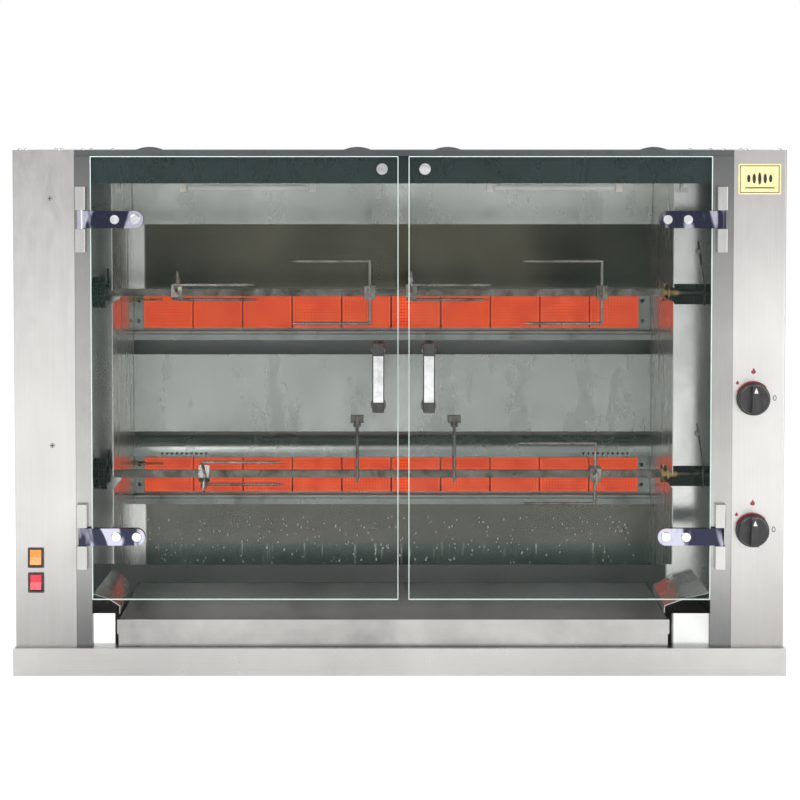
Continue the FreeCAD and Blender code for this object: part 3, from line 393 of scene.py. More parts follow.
def strap_mirror():
    """Polished hinge strap: painted blue-black reflections and painted pale lilac highlights in
    stripes.
    """
    material, tree, shader = start_finish("strap_mirror", Metallic=1.0)
    painted_reflection_bands = noise(tree, (26.0, 26.0, 9.0), 2.0, 0.5, 0.6)
    marks = noise(tree, (160.0, 160.0, 160.0), 3.0, 0.6)
    # Painted reflection and highlight: blue-black for the dark the polish reflects, pale lilac for
    # its highlights.
    tone = mixed(tree, ranged(tree, painted_reflection_bands, 0.47, 0.56, smooth=True), (0.035, 0.038, 0.062),
                 (0.50, 0.50, 0.60))
    tree.links.new(tone, shader.inputs["Base Color"])
    tree.links.new(ranged(tree, marks, 0.4, 0.7, 0.05, 0.16), shader.inputs["Roughness"])
    raise_surface(tree, shader, painted_reflection_bands, 2e-4, 0.5)
    return material


def worked_metal(name, colour, soot, roughness, metallic=0.9, per_metre=120.0, depth=1e-4):
    """Solid metal that heat and handling have marked: soot patches, pits and a dull sheen."""
    material, tree, shader = start_finish(name, Metallic=metallic)
    patches = noise(tree, (per_metre * 0.3,) * 3, 4.0, 0.65, 0.6)
    pits = noise(tree, (per_metre * 6,) * 3, 3.0, 0.6)
    tone = mixed(tree, ranged(tree, patches, 0.38, 0.66), tuple(colour), tuple(soot))
    tone = mixed(tree, ranged(tree, pits, 0.58, 0.75, 0.0, 0.6), tone, darker(soot, 0.5))
    tree.links.new(tone, shader.inputs["Base Color"])
    gloss = ranged(tree, patches, 0.35, 0.7, roughness * 0.75, min(0.95, roughness * 1.4))
    tree.links.new(gloss, shader.inputs["Roughness"])
    raise_surface(tree, shader, pits, depth, 0.5)
    return material


def moulded_plastic(name, colour, roughness=0.42, coat=0.0):
    """Moulded plastic: fine orange peel, dull rubbed patches and a trace of dust."""
    material, tree, shader = start_finish(name, Coat_Weight=coat, Coat_Roughness=0.12)
    peel = noise(tree, (1500.0,) * 3, 2.0)
    rubbed = noise(tree, (70.0,) * 3, 4.0, 0.6, 0.5)
    lighter = tuple(min(1.0, channel * 1.5 + 0.012) for channel in colour)
    tone = mixed(tree, ranged(tree, rubbed, 0.42, 0.68), tuple(colour), lighter)
    tree.links.new(tone, shader.inputs["Base Color"])
    gloss = ranged(tree, rubbed, 0.35, 0.7, roughness * 0.8, roughness * 1.25)
    tree.links.new(gloss, shader.inputs["Roughness"])
    raise_surface(tree, shader, peel, 3e-5, 0.35)
    return material


def lit_lens(name, colour, strength):
    """Coloured lens of a rocker: clear gloss over a body with a lamp behind its middle."""
    material, tree, shader = start_finish(
        name, Roughness=0.22, Coat_Weight=0.6, Coat_Roughness=0.06, Emission_Strength=strength)
    streaks = noise(tree, (300.0, 300.0, 40.0), 3.0)
    tone = mixed(tree, ranged(tree, streaks, 0.3, 0.7), darker(colour, 0.75), tuple(colour))
    tree.links.new(tone, shader.inputs["Base Color"])
    glow = mixed(tree, ranged(tree, streaks, 0.35, 0.65), darker(colour, 0.5), darker(colour, 1.3))
    tree.links.new(glow, shader.inputs["Emission Color"])
    raise_surface(tree, shader, streaks, 5e-5, 0.4)
    return material


def glowing_tile(colours):
    """Porous burner ceramic at red heat: brighter cores, duller rims and pale dust."""
    glow = tuple(colours.glow)
    material, tree, shader = start_finish("glowing_tile", Roughness=0.9, Emission_Strength=0.80)
    heat = noise(tree, (26.0, 26.0, 34.0), 4.0, 0.6, 0.4)
    grains = noise(tree, (900.0,) * 3, 3.0, 0.6)
    low = (glow[0] * 0.78, glow[1] * 0.55, glow[2] * 0.5)
    high = (glow[0], glow[1] * 1.25, glow[2] * 1.5)
    light = mixed(tree, ranged(tree, heat, 0.34, 0.66), low, high)
    tree.links.new(light, shader.inputs["Emission Color"])
    clay = mixed(tree, ranged(tree, grains, 0.35, 0.7), (0.16, 0.022, 0.008), (0.30, 0.06, 0.025))
    tree.links.new(clay, shader.inputs["Base Color"])
    raise_surface(tree, shader, grains, 3e-4, 0.6)
    return material


def door_glass(colours):
    """Toughened glass: nearly clear, with a faint film of fat and wiping marks."""
    material, tree, shader = start_finish("door_glass", IOR=1.5)
    film = noise(tree, (5.0, 5.0, 3.0), 5.0, 0.6, 1.5)
    wipes = noise(tree, (30.0, 30.0, 6.0), 4.0, 0.6, 1.0)
    tint = mixed(
        tree, ranged(tree, film, 0.35, 0.65), tuple(colours.glass), darker(colours.glass, 1.15))
    tree.links.new(tint, shader.inputs["Base Color"])
    tree.links.new(ranged(tree, wipes, 0.35, 0.7, 0.01, 0.07), shader.inputs["Roughness"])
    tree.links.new(ranged(tree, film, 0.35, 0.7, 0.07, 0.12), shader.inputs["Alpha"])
    return material


def glass_edge():
    """Ground edge of the door glass: the green of the glass, made pale as a painted highlight for
    the light the edge gathers.
    """
    material, tree, shader = start_finish("glass_edge", Roughness=0.28, Alpha=0.92)
    ground = noise(tree, (500.0,) * 3, 3.0)
    # Painted highlight: the near-white green stands in for the bright lines along the glass edges.
    tint = mixed(tree, ranged(tree, ground, 0.35, 0.65), (0.62, 0.80, 0.74), (0.86, 0.95, 0.92))
    tree.links.new(tint, shader.inputs["Base Color"])
    raise_surface(tree, shader, ground, 6e-5, 0.5)
    return material


def lamp_glass():
    """Clear quartz tube with a smoky end."""
    material, tree, shader = start_finish("lamp_quartz", IOR=1.46, Roughness=0.05)
    smoke = noise(tree, (40.0, 90.0, 90.0), 3.0)
    tint = mixed(tree, ranged(tree, smoke, 0.4, 0.7), (0.92, 0.93, 0.90), (0.55, 0.55, 0.52))
    tree.links.new(tint, shader.inputs["Base Color"])
    tree.links.new(ranged(tree, smoke, 0.4, 0.7, 0.38, 0.62), shader.inputs["Alpha"])
    return material


def painted(name, colour, roughness=0.35, metallic=0.0, speck=0.7):
    """Paint or enamel: slight orange peel, rubbed gloss and darker specks."""
    material, tree, shader = start_finish(name, Metallic=metallic, Coat_Weight=0.25)
    peel = noise(tree, (600.0,) * 3, 2.0)
    rubbed = noise(tree, (55.0,) * 3, 4.0, 0.6)
    specks = noise(tree, (420.0,) * 3, 2.0)
    tone = mixed(tree, ranged(tree, rubbed, 0.35, 0.68), tuple(colour), darker(colour, 0.84))
    tone = mixed(tree, ranged(tree, specks, 0.70, 0.74, 0.0, speck), tone, darker(colour, 0.45))
    tree.links.new(tone, shader.inputs["Base Color"])
    gloss = ranged(tree, rubbed, 0.35, 0.7, roughness * 0.8, roughness * 1.3)
    tree.links.new(gloss, shader.inputs["Roughness"])
    raise_surface(tree, shader, peel, 3e-5, 0.4)
    return material


def make_finishes(colours):
    """Every finish of the oven by name."""
    casing = tuple(colours.casing)
    chamber = tuple(colours.chamber)
    made = [
        # column_steel and post_steel carry a painted shade towards the top and the foot.
        steel("column_steel", casing, 0.34, "Z", 0.86, painted_shade=(0.62, 0.61, 0.61)),
        steel("post_steel", darker(casing, 0.72), 0.22, "Z", 0.75, painted_shade=(0.35, 0.36, 0.37)),
        steel("base_steel", darker(casing, 0.88), 0.33, "X"),
        steel("lid_steel", (0.13, 0.14, 0.14), 0.32, "X", 0.8, 3.0, 0.95),
        steel("rear_steel", darker(casing, 0.86), 0.40, "X"),
        steel("tray_steel", darker(casing, 0.74), 0.22, "X", 0.62, 6.0),
        steel("dark_rail_steel", tuple(colours.header), 0.30, "X", 0.7, 3.0, 0.85),
        steel("hinge_steel", darker(casing, 0.85), 0.24, "Z"),
        steel("bolt_steel", darker(casing, 0.85), 0.25, "Z", 0.6, 40.0),
        stained_steel("side_steel", (0.66, 0.65, 0.61), (0.24, 0.20, 0.14), 0.22, 0.45),
        stained_steel("reflector_steel", chamber, (0.20, 0.19, 0.15), 0.22, 0.35, "X", 9.0),
        stained_steel("burner_steel", darker(chamber, 0.7), (0.10, 0.085, 0.07), 0.34, 0.7, "X"),
        stained_steel("wing_steel", darker(casing, 0.72), (0.16, 0.14, 0.11), 0.24, 0.5, "Y"),
        chamber_steel(colours),
        strap_mirror(),
        mirror("bright_steel", (0.90, 0.90, 0.90), 0.12),
        worked_metal("seared_steel", (0.20, 0.185, 0.165), (0.055, 0.045, 0.035), 0.36),
        worked_metal("fork_steel", (0.36, 0.34, 0.31), (0.13, 0.105, 0.08), 0.30),
        worked_metal("worn_brass", (0.52, 0.36, 0.15), (0.17, 0.11, 0.05), 0.34),
        worked_metal("cast_aluminium", (0.62, 0.62, 0.62), (0.38, 0.37, 0.35), 0.46),
        worked_metal("oiled_iron", (0.035, 0.034, 0.034), (0.010, 0.009, 0.008), 0.34, 0.6),
        moulded_plastic("handle_plastic", tuple(colours.plastic), 0.30, 0.3),
        moulded_plastic("knob_plastic", tuple(colours.plastic), 0.38, 0.1),
        moulded_plastic("soft_rubber", (0.014, 0.014, 0.014), 0.75),
        lit_lens("amber_lens", tuple(colours.amber), 0.25),
        lit_lens("red_lens", tuple(colours.red), 0.22),
        glowing_tile(colours),
        worked_metal("flame_hole", (0.16, 0.03, 0.012), (0.05, 0.012, 0.006), 0.9, 0.0),
        # slot_black is painted shade: it stands in for the shade inside the screw slots.
        worked_metal("slot_black", (0.02, 0.02, 0.02), (0.008, 0.008, 0.008), 0.6, 0.3),
        worked_metal("fat_drop", (0.72, 0.72, 0.68), (0.45, 0.43, 0.38), 0.12, 0.0),
        door_glass(colours),
        glass_edge(),
        lamp_glass(),
        painted("motor_enamel", (0.045, 0.048, 0.052), 0.38, 0.2),
        painted("lamp_ceramic", (0.70, 0.67, 0.61), 0.45),
        painted("plate_enamel", tuple(colours.badge), 0.34, 0.0, 0.3),
        painted("mark_black", (0.012, 0.012, 0.012), 0.4),
        painted("mark_white", (0.86, 0.86, 0.84), 0.4, 0.0, 0.2),
        painted("mark_red", tuple(colours.arc), 0.38, 0.0, 0.2),
    ]
    return {material.name: material for material in made}


def finish(name):
    """A finish that the finishes operator has made."""
    if name not in bpy.data.materials:
        raise RuntimeError(f"run the finishes first: {name} is missing")
    return bpy.data.materials[name]


# ---- Mesh helpers --------------------------------------------------------------------------------

def new_object(name, mesh, materials=()):
    """An object at the origin with its mesh and materials."""
    made = bpy.data.objects.new(name, mesh)
    bpy.context.scene.collection.objects.link(made)
    for material in materials:
        mesh.materials.append(material)
    return made


def fit_piece(name, mesh, materials, body, replaced=()):
    """A finished piece that rides on a body, in place of any frame parts it hides."""
    made = new_object(name, mesh, materials)
    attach(made, body)
    if replaced:
        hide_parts(*replaced)
    return made


def mesh_from(name, shape):
    """The mesh of a finished bmesh, with its faces turned outwards."""
    bmesh.ops.recalc_face_normals(shape, faces=shape.faces)
    mesh = bpy.data.meshes.new(name)
    shape.to_mesh(mesh)
    shape.free()
    return mesh


def add_box(shape, low, high):
    """A box between two corners; its vertices come back."""
    corners = [
        shape.verts.new((x, y, z))
        for x in (low[0], high[0]) for y in (low[1], high[1]) for z in (low[2], high[2])]
    for loop in ((0, 1, 3, 2), (4, 6, 7, 5), (0, 4, 5, 1), (2, 3, 7, 6), (0, 2, 6, 4),
                 (1, 5, 7, 3)):
        shape.faces.new([corners[i] for i in loop])
    return corners


def add_plate(shape, outline, front, back):
    """A flat plate from an outline of (x, z) points, between two depths."""
    near = [shape.verts.new((x, front, z)) for x, z in outline]
    far = [shape.verts.new((x, back, z)) for x, z in outline]
    count = len(outline)
    shape.faces.new(near)
    shape.faces.new(list(reversed(far)))
    for i in range(count):
        j = (i + 1) % count
        shape.faces.new((near[j], near[i], far[i], far[j]))


def add_band(shape, sections, closed):
    """Faces along a run of four-cornered sections, which closes on itself or gets two ends."""
    rows = [[shape.verts.new(corner) for corner in section] for section in sections]
    for first, second in zip(rows, rows[1:] + rows[:1] if closed else rows[1:]):
        for k in range(4):
            n = (k + 1) % 4
            shape.faces.new((first[k], first[n], second[n], second[k]))
    if not closed:
        shape.faces.new(rows[0])
        shape.faces.new(list(reversed(rows[-1])))


def add_arc(shape, centre, radii, angles, depths, steps=40):
    """A flat band on part of a circle."""
    sections = []
    for i in range(steps + 1):
        turn = math.radians(angles[0] + (angles[1] - angles[0]) * i / steps)
        x, z = math.cos(turn), math.sin(turn)
        sections.append([
            (centre[0] + r * x, y, centre[1] + r * z)
            for r, y in ((radii[0], depths[0]), (radii[1], depths[0]),
                         (radii[1], depths[1]), (radii[0], depths[1]))])
    add_band(shape, sections, False)


def ellipse(centre, half_wide, half_high, steps=40):
    """Outline of an ellipse."""
    turns = [2 * math.pi * i / steps for i in range(steps)]
    return [(centre[0] + half_wide * math.cos(t), centre[1] + half_high * math.sin(t))
            for t in turns]


def flame_outline(centre, high):
    """Outline of a small two-tongued flame."""
    points = (
        (0.00, -0.50), (0.22, -0.46), (0.36, -0.30), (0.38, -0.10), (0.30, 0.08), (0.22, 0.02),
        (0.20, 0.20), (0.08, 0.38), (-0.04, 0.50), (-0.02, 0.32), (-0.12, 0.18), (-0.26, 0.04),
        (-0.36, -0.14), (-0.34, -0.34), (-0.20, -0.46))
    return [(centre[0] + x * high, centre[1] + z * high) for x, z in points]


# ---- Geometry Nodes helpers ----------------------------------------------------------------------

SOCKET_KINDS = {
    "number": "NodeSocketFloat",
    "count": "NodeSocketInt",
    "size": "NodeSocketVector",
    "material": "NodeSocketMaterial",
}


def start_tree(name, inputs):
    """A node tree with a guide mesh and named inputs: (label, kind) pairs."""
    tree = bpy.data.node_groups.new(name, "GeometryNodeTree")
    sockets = tree.interface
    sockets.new_socket(name="Guide", in_out="INPUT", socket_type="NodeSocketGeometry")
    for label, kind in inputs:
        sockets.new_socket(name=label, in_out="INPUT", socket_type=SOCKET_KINDS[kind])
    sockets.new_socket(name="Result", in_out="OUTPUT", socket_type="NodeSocketGeometry")
    start = tree.nodes.new("NodeGroupInput")
    end = tree.nodes.new("NodeGroupOutput")
    return tree, start, end


def wire(tree, source, node, socket):
    """One link; a source that isn't a socket is a constant."""
    if isinstance(source, bpy.types.NodeSocket):
        tree.links.new(source, node.inputs[socket])
    else:
        node.inputs[socket].default_value = source


def geo(tree, kind, settings=None, **inputs):
    """One geometry node with its settings and inputs; spaces in names are underscores."""
    made = add_node(tree, kind, **(settings or {}))
    for label, source in inputs.items():
        wire(tree, source, made, label.replace("_", " "))
    return made


def joined(tree, *parts):
    """Several geometries as one."""
    join = tree.nodes.new("GeometryNodeJoinGeometry")
    for part in reversed(parts):
        tree.links.new(part, join.inputs["Geometry"])
    return join.outputs["Geometry"]


def painted_geometry(tree, geometry, material):
    """Realised instances with a material, as every tree ends."""
    real = geo(tree, "GeometryNodeRealizeInstances", Geometry=geometry)
    done = geo(tree, "GeometryNodeSetMaterial", Geometry=real.outputs["Geometry"],
               Material=material)
    return done.outputs["Geometry"]


def grow(name, tree, guide, values):
    """Runs a tree on a guide mesh and gives the plain mesh that comes out."""
    holder = new_object(name + "_guide", guide)
    modifier = holder.modifiers.new("Grow", "NODES")
    modifier.node_group = tree
    for item in tree.interface.items_tree:
        if item.item_type == "SOCKET" and item.in_out == "INPUT" and item.name in values:
            modifier[item.identifier] = values[item.name]
    graph = bpy.context.evaluated_depsgraph_get()
    mesh = bpy.data.meshes.new_from_object(holder.evaluated_get(graph))
    mesh.name = name
    holder.modifiers.remove(modifier)
    bpy.data.objects.remove(holder)
    if not mesh.polygons:
        raise RuntimeError(f"{name} came out empty")
    return mesh


def guide_points(name, points):
    """A guide mesh of loose points."""
    mesh = bpy.data.meshes.new(name)
    mesh.from_pydata([tuple(p) for p in points], [], [])
    return mesh


def cross_slot_tree():
    """A cross slot on every guide point, from two thin bars."""
    tree, start, end = start_tree(
        "Cross slots", [("First arm", "size"), ("Second arm", "size"), ("Finish", "material")])
    arms = [geo(tree, "GeometryNodeMeshCube", Size=start.outputs[label]).outputs["Mesh"]
            for label in ("First arm", "Second arm")]
    points = geo(tree, "GeometryNodeMeshToPoints", Mesh=start.outputs["Guide"])
    spread = geo(tree, "GeometryNodeInstanceOnPoints", Points=points.outputs["Points"],
                 Instance=joined(tree, *arms))
    done = painted_geometry(tree, spread.outputs["Instances"], start.outputs["Finish"])
    tree.links.new(done, end.inputs["Result"])
    return tree


def tile_row_tree():
    """A row of burner tiles from every guide point, with a grid of flame holes on each."""
    tree, start, end = start_tree(
        "Burner tile row",
        [("Tiles", "count"), ("Tile size", "size"), ("Step", "size"), ("Holes wide", "count"),
         ("Holes high", "count"), ("Field wide", "number"), ("Field high", "number"),
         ("Hole radius", "number"), ("Hole place", "size"), ("Tile finish", "material"),
         ("Hole finish", "material")])
    out = start.outputs
    row = geo(tree, "GeometryNodeMeshLine", {"mode": "OFFSET"}, Count=out["Tiles"],
              Offset=out["Step"])
    tile = geo(tree, "GeometryNodeMeshCube", Size=out["Tile size"])
    tiles = geo(tree, "GeometryNodeInstanceOnPoints", Points=row.outputs["Mesh"],
                Instance=tile.outputs["Mesh"])
    grid = geo(tree, "GeometryNodeMeshGrid", Size_X=out["Field wide"], Size_Y=out["Field high"],
               Vertices_X=out["Holes wide"], Vertices_Y=out["Holes high"])
    face = geo(tree, "GeometryNodeTransform", Geometry=grid.outputs["Mesh"],
               Translation=out["Hole place"], Rotation=(math.pi / 2, 0.0, 0.0))
    hole = geo(tree, "GeometryNodeMeshCircle", {"fill_type": "NGON"}, Vertices=6,
               Radius=out["Hole radius"])
    turned = geo(tree, "GeometryNodeTransform", Geometry=hole.outputs["Mesh"],
                 Rotation=(math.pi / 2, 0.0, 0.0))
    holes = geo(tree, "GeometryNodeInstanceOnPoints", Points=face.outputs["Geometry"],
                Instance=turned.outputs["Geometry"])
    field = geo(tree, "GeometryNodeInstanceOnPoints", Points=row.outputs["Mesh"],
                Instance=holes.outputs["Instances"])
    both = joined(
        tree, painted_geometry(tree, tiles.outputs["Instances"], out["Tile finish"]),
        painted_geometry(tree, field.outputs["Instances"], out["Hole finish"]))
    starts = geo(tree, "GeometryNodeMeshToPoints", Mesh=out["Guide"])
    rows = geo(tree, "GeometryNodeInstanceOnPoints", Points=starts.outputs["Points"],
               Instance=both)
    real = geo(tree, "GeometryNodeRealizeInstances", Geometry=rows.outputs["Instances"])
    tree.links.new(real.outputs["Geometry"], end.inputs["Result"])
    return tree


def knob_rib_tree():
    """Round ribs about a knob's skirt."""
    tree, start, end = start_tree(
        "Knob ribs", [("Ribs", "count"), ("Skirt radius", "number"), ("Rib radius", "number"),
                      ("Rib length", "number"), ("Finish", "material")])
    out = start.outputs
    ring = geo(tree, "GeometryNodeMeshCircle", Vertices=out["Ribs"], Radius=out["Skirt radius"])
    rib = geo(tree, "GeometryNodeMeshCylinder", Vertices=8, Radius=out["Rib radius"],
              Depth=out["Rib length"])
    ribs = geo(tree, "GeometryNodeInstanceOnPoints", Points=ring.outputs["Mesh"],
               Instance=rib.outputs["Mesh"])
    real = geo(tree, "GeometryNodeRealizeInstances", Geometry=ribs.outputs["Instances"])
    turned = geo(tree, "GeometryNodeTransform", Geometry=real.outputs["Geometry"],
                 Rotation=(math.pi / 2, 0.0, 0.0))
    points = geo(tree, "GeometryNodeMeshToPoints", Mesh=out["Guide"])
    placed = geo(tree, "GeometryNodeInstanceOnPoints", Points=points.outputs["Points"],
                 Instance=turned.outputs["Geometry"])
    done = painted_geometry(tree, placed.outputs["Instances"], out["Finish"])
    tree.links.new(done, end.inputs["Result"])
    return tree


def chain_tree():
    """Roller chain along the guide's closed line, which lies flat and is then stood upright."""
    tree, start, end = start_tree(
        "Roller chain", [("Links", "count"), ("Plate size", "size"), ("Plate gap", "size"),
                         ("Roller radius", "number"), ("Roller length", "number"),
                         ("Place", "size"), ("Finish", "material")])
    out = start.outputs
    line = geo(tree, "GeometryNodeMeshToCurve", Mesh=out["Guide"])
    upright = geo(tree, "GeometryNodeSetCurveNormal", {"mode": "Z_UP"},
                  Curve=line.outputs["Curve"])
    stops = geo(tree, "GeometryNodeCurveToPoints", {"mode": "COUNT"},
                Curve=upright.outputs["Curve"], Count=out["Links"])
    plate = geo(tree, "GeometryNodeMeshCube", Size=out["Plate size"])
    near = geo(tree, "GeometryNodeTransform", Geometry=plate.outputs["Mesh"],
               Translation=out["Plate gap"])
    flipped = geo(tree, "ShaderNodeVectorMath", {"operation": "MULTIPLY"})
    tree.links.new(out["Plate gap"], flipped.inputs[0])
    flipped.inputs[1].default_value = (1.0, -1.0, 1.0)
    far = geo(tree, "GeometryNodeTransform", Geometry=plate.outputs["Mesh"],
              Translation=flipped.outputs["Vector"])
    roller = geo(tree, "GeometryNodeMeshCylinder", Vertices=10, Radius=out["Roller radius"],
                 Depth=out["Roller length"])
    across = geo(tree, "GeometryNodeTransform", Geometry=roller.outputs["Mesh"],
                 Rotation=(math.pi / 2, 0.0, 0.0))
    link = joined(tree, near.outputs["Geometry"], far.outputs["Geometry"],
                  across.outputs["Geometry"])
    links = geo(tree, "GeometryNodeInstanceOnPoints", Points=stops.outputs["Points"],
                Instance=link, Rotation=stops.outputs["Rotation"])
    real = geo(tree, "GeometryNodeRealizeInstances", Geometry=links.outputs["Instances"])
    first = geo(tree, "GeometryNodeTransform", Geometry=real.outputs["Geometry"],
                Rotation=(math.pi / 2, 0.0, math.pi / 2))
    second = geo(tree, "GeometryNodeTransform", Geometry=first.outputs["Geometry"],
                 Translation=out["Place"])
    done = painted_geometry(tree, second.outputs["Geometry"], out["Finish"])
    tree.links.new(done, end.inputs["Result"])
    return tree


def drop_tree():
    """Small drops strewn over the guide's faces with a fixed seed."""
    tree, start, end = start_tree(
        "Fat drops", [("Density", "number"), ("Radius", "number"), ("Seed", "count"),
                      ("Finish", "material")])
    out = start.outputs
    strewn = geo(tree, "GeometryNodeDistributePointsOnFaces", {"distribute_method": "RANDOM"},
                 Mesh=out["Guide"], Density=out["Density"], Seed=out["Seed"])
    drop = geo(tree, "GeometryNodeMeshIcoSphere", Radius=out["Radius"], Subdivisions=2)
    flat = geo(tree, "GeometryNodeTransform", Geometry=drop.outputs["Mesh"],
               Scale=(0.8, 0.35, 1.5))
    sizes = add_node(tree, "FunctionNodeRandomValue", data_type="FLOAT")
    lows = [s for s in sizes.inputs if s.name == "Min" and s.type == "VALUE"]
    lows[0].default_value = 0.3
    tree.links.new(out["Seed"], sizes.inputs["Seed"])
    value = next(s for s in sizes.outputs if s.type == "VALUE" and s.enabled)
    spread = geo(tree, "GeometryNodeInstanceOnPoints", Points=strewn.outputs["Points"],
                 Instance=flat.outputs["Geometry"], Scale=value)
    done = painted_geometry(tree, spread.outputs["Instances"], out["Finish"])
    tree.links.new(done, end.inputs["Result"])
    return tree


# ---- Operators -----------------------------------------------------------------------------------

class OVEN_OT_finishes(bpy.types.Operator):
    """Makes every finish and puts it on the frame's own parts"""
    bl_idname = "oven.finishes"
    bl_label = "Finishes"

    def execute(self, context):
        finishes = make_finishes(context.scene.oven_colours)
        for name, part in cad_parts.items():
            if name not in FINISH_OF_PART:
                raise RuntimeError(f"no finish is set for {name}")
            for holder in part.material_slots:
                holder.material = finishes[FINISH_OF_PART[name]]
        return {"FINISHED"}


class OVEN_OT_door_glass(bpy.types.Operator):
    """Makes both door panes with ground and bevelled edges"""
    bl_idname = "oven.door_glass"
    bl_label = "Door glass"

    def execute(self, context):
        edge = context.scene.oven_sizes.glass_edge
        for side in ("left", "right"):
            node = f"{side}_door_glass"
            low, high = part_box(node)
            shape = bmesh.new()
            add_box(shape, low, high)
            bmesh.ops.recalc_face_normals(shape, faces=shape.faces)
            bmesh.ops.bevel(
                shape, geom=list(shape.edges), offset=edge, segments=2, affect="EDGES",
                profile=0.5)
            for face in shape.faces:
                wide = abs(face.normal.y) > 0.99 and face.calc_area() > 0.01
                face.material_index = 0 if wide else 1
            fit_piece(
                f"{side}_door_pane", mesh_from(f"{side}_door_pane", shape),
                [finish("door_glass"), finish("glass_edge")], f"{side}_door", (node,))
        return {"FINISHED"}


class OVEN_OT_burner_tiles(bpy.types.Operator):
    """Makes both rows of ceramic burner tiles with their flame holes"""
    bl_idname = "oven.burner_tiles"
    bl_label = "Burner tiles"

    def execute(self, context):
        sizes = context.scene.oven_sizes
        low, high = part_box("burner_tiles")
        step = (high[0] - low[0] + sizes.tile_gap) / sizes.tile_count
        wide = step - sizes.tile_gap
        tall = TILE_ROWS[0][1] - TILE_ROWS[0][0]
        thick = high[1] - low[1]
        starts = [(low[0] + wide / 2, (low[1] + high[1]) / 2, (z0 + z1) / 2)
                  for z0, z1 in TILE_ROWS]
        rim = sizes.hole_pitch
        mesh = grow("burner_tile_rows", tile_row_tree(), guide_points("tile_starts", starts), {
            "Tiles": sizes.tile_count,
            "Tile size": (wide, thick, tall),
            "Step": (step, 0.0, 0.0),
            "Holes wide": max(2, int((wide - 2 * rim) / sizes.hole_pitch) + 1),
            "Holes high": max(2, int((tall - 2 * rim) / sizes.hole_pitch) + 1),
            "Field wide": wide - 2 * rim,
            "Field high": tall - 2 * rim,
            "Hole radius": sizes.hole_radius,
            "Hole place": (0.0, -thick / 2 - 0.00012, 0.0),
            "Tile finish": finish("glowing_tile"),
            "Hole finish": finish("flame_hole"),
        })
        fit_piece("burner_tile_rows", mesh, (), "oven", ("burner_tiles",))
        return {"FINISHED"}


class OVEN_OT_knobs(bpy.types.Operator):
    """Adds ribs, a white pointer, a red arc and the printed marks to both knobs"""
    bl_idname = "oven.knobs"
    bl_label = "Knobs and marks"

    def execute(self, context):
        sizes = context.scene.oven_sizes
        ribs = knob_rib_tree()
        for name, knob in KNOBS.items():
            x, z = knob["x"], knob["z"]
            guide = guide_points(f"{name}_rib_centre", [(x, FRONT_Y - 0.0108, z)])
            mesh = grow(f"{name}_knob_ribs", ribs, guide, {
                "Ribs": sizes.rib_count,
                "Skirt radius": 0.0256,
                "Rib radius": 0.0009,
                "Rib length": 0.0052,
                "Finish": finish("knob_plastic"),
            })
            fit_piece(f"{name}_knob_ribs", mesh, (), knob["body"])
            self.add_pointer(name, x, z, knob["body"])
            self.add_arc_mark(name, x, z)
            self.add_flames(name, x, z)
            self.add_zero(name, x, z)
        return {"FINISHED"}

    def add_pointer(self, name, x, z, body):
        """A white wedge at the top of the grip."""
        shape = bmesh.new()
        outline = [(x - 0.0032, z + 0.0120), (x + 0.0032, z + 0.0120), (x, z + 0.0205)]
        add_plate(shape, outline, GRIP_FRONT_Y, GRIP_FRONT_Y + 0.0006)
        fit_piece(f"{name}_knob_pointer", mesh_from(f"{name}_knob_pointer", shape),
                  [finish("mark_white")], body)

    def add_arc_mark(self, name, x, z):
        """A red arc round the top of the bezel."""
        shape = bmesh.new()
        add_arc(shape, (x, z), (0.0262, 0.0284), (42.0, 158.0), (FRONT_Y - 0.0046, FRONT_Y))
        fit_piece(f"{name}_knob_arc", mesh_from(f"{name}_knob_arc", shape),
                  [finish("mark_red")], "oven")

    def add_flames(self, name, x, z):
        """A large and a small flame printed on the column."""
        shape = bmesh.new()
        for place, high in (((x + 0.0005, z + 0.0450), 0.0105),
                            ((x - 0.0253, z + 0.0262), 0.0072)):
            add_plate(shape, flame_outline(place, high), *PRINT_DEPTHS)
        fit_piece(f"{name}_flame_marks", mesh_from(f"{name}_flame_marks", shape),
                  [finish("mark_red")], "oven")

    def add_zero(self, name, x, z):
        """The figure 0 at the right of the knob."""
        shape = bmesh.new()
        outer = ellipse((x + 0.035, z + 0.001), 0.0030, 0.0046, 28)
        inner = ellipse((x + 0.035, z + 0.001), 0.0019, 0.0035, 28)
        front, back = PRINT_DEPTHS
        add_band(shape, [
            ((ox, front, oz), (ix, front, iz), (ix, back, iz), (ox, back, oz))
            for (ox, oz), (ix, iz) in zip(outer, inner)], True)
        fit_piece(f"{name}_zero_mark", mesh_from(f"{name}_zero_mark", shape),
                  [finish("mark_black")], "oven")


class OVEN_OT_screw_slots(bpy.types.Operator):
    """Sets a cross slot of painted shade, two thin black bars, in the head of every lid and column
    screw
    """
    bl_idname = "oven.screw_slots"
    bl_label = "Screw slots"

    def execute(self, context):
        arm = context.scene.oven_sizes.slot_length
        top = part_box("cover_screws")[1][2] - 0.0006
        tree = cross_slot_tree()
        lids = [(x, y, top) for x in LID_SCREW_X for y in LID_SCREW_Y]
        mesh = grow("lid_screw_slots", tree, guide_points("lid_screws", lids), {
            "First arm": (arm, 0.0009, 0.0014),
            "Second arm": (0.0009, arm, 0.0014),
            "Finish": finish("slot_black"),
        })
        fit_piece("lid_screw_slots", mesh, (), "oven")
        fronts = [(x, FRONT_Y - 0.0012, z) for x, z in COLUMN_SCREWS]
        mesh = grow("column_screw_slots", tree, guide_points("column_screws", fronts), {
            "First arm": (arm * 1.3, 0.0009, 0.0009),
            "Second arm": (0.0009, 0.0009, arm * 1.3),
            "Finish": finish("slot_black"),
        })
        fit_piece("column_screw_slots", mesh, (), "oven")
        return {"FINISHED"}


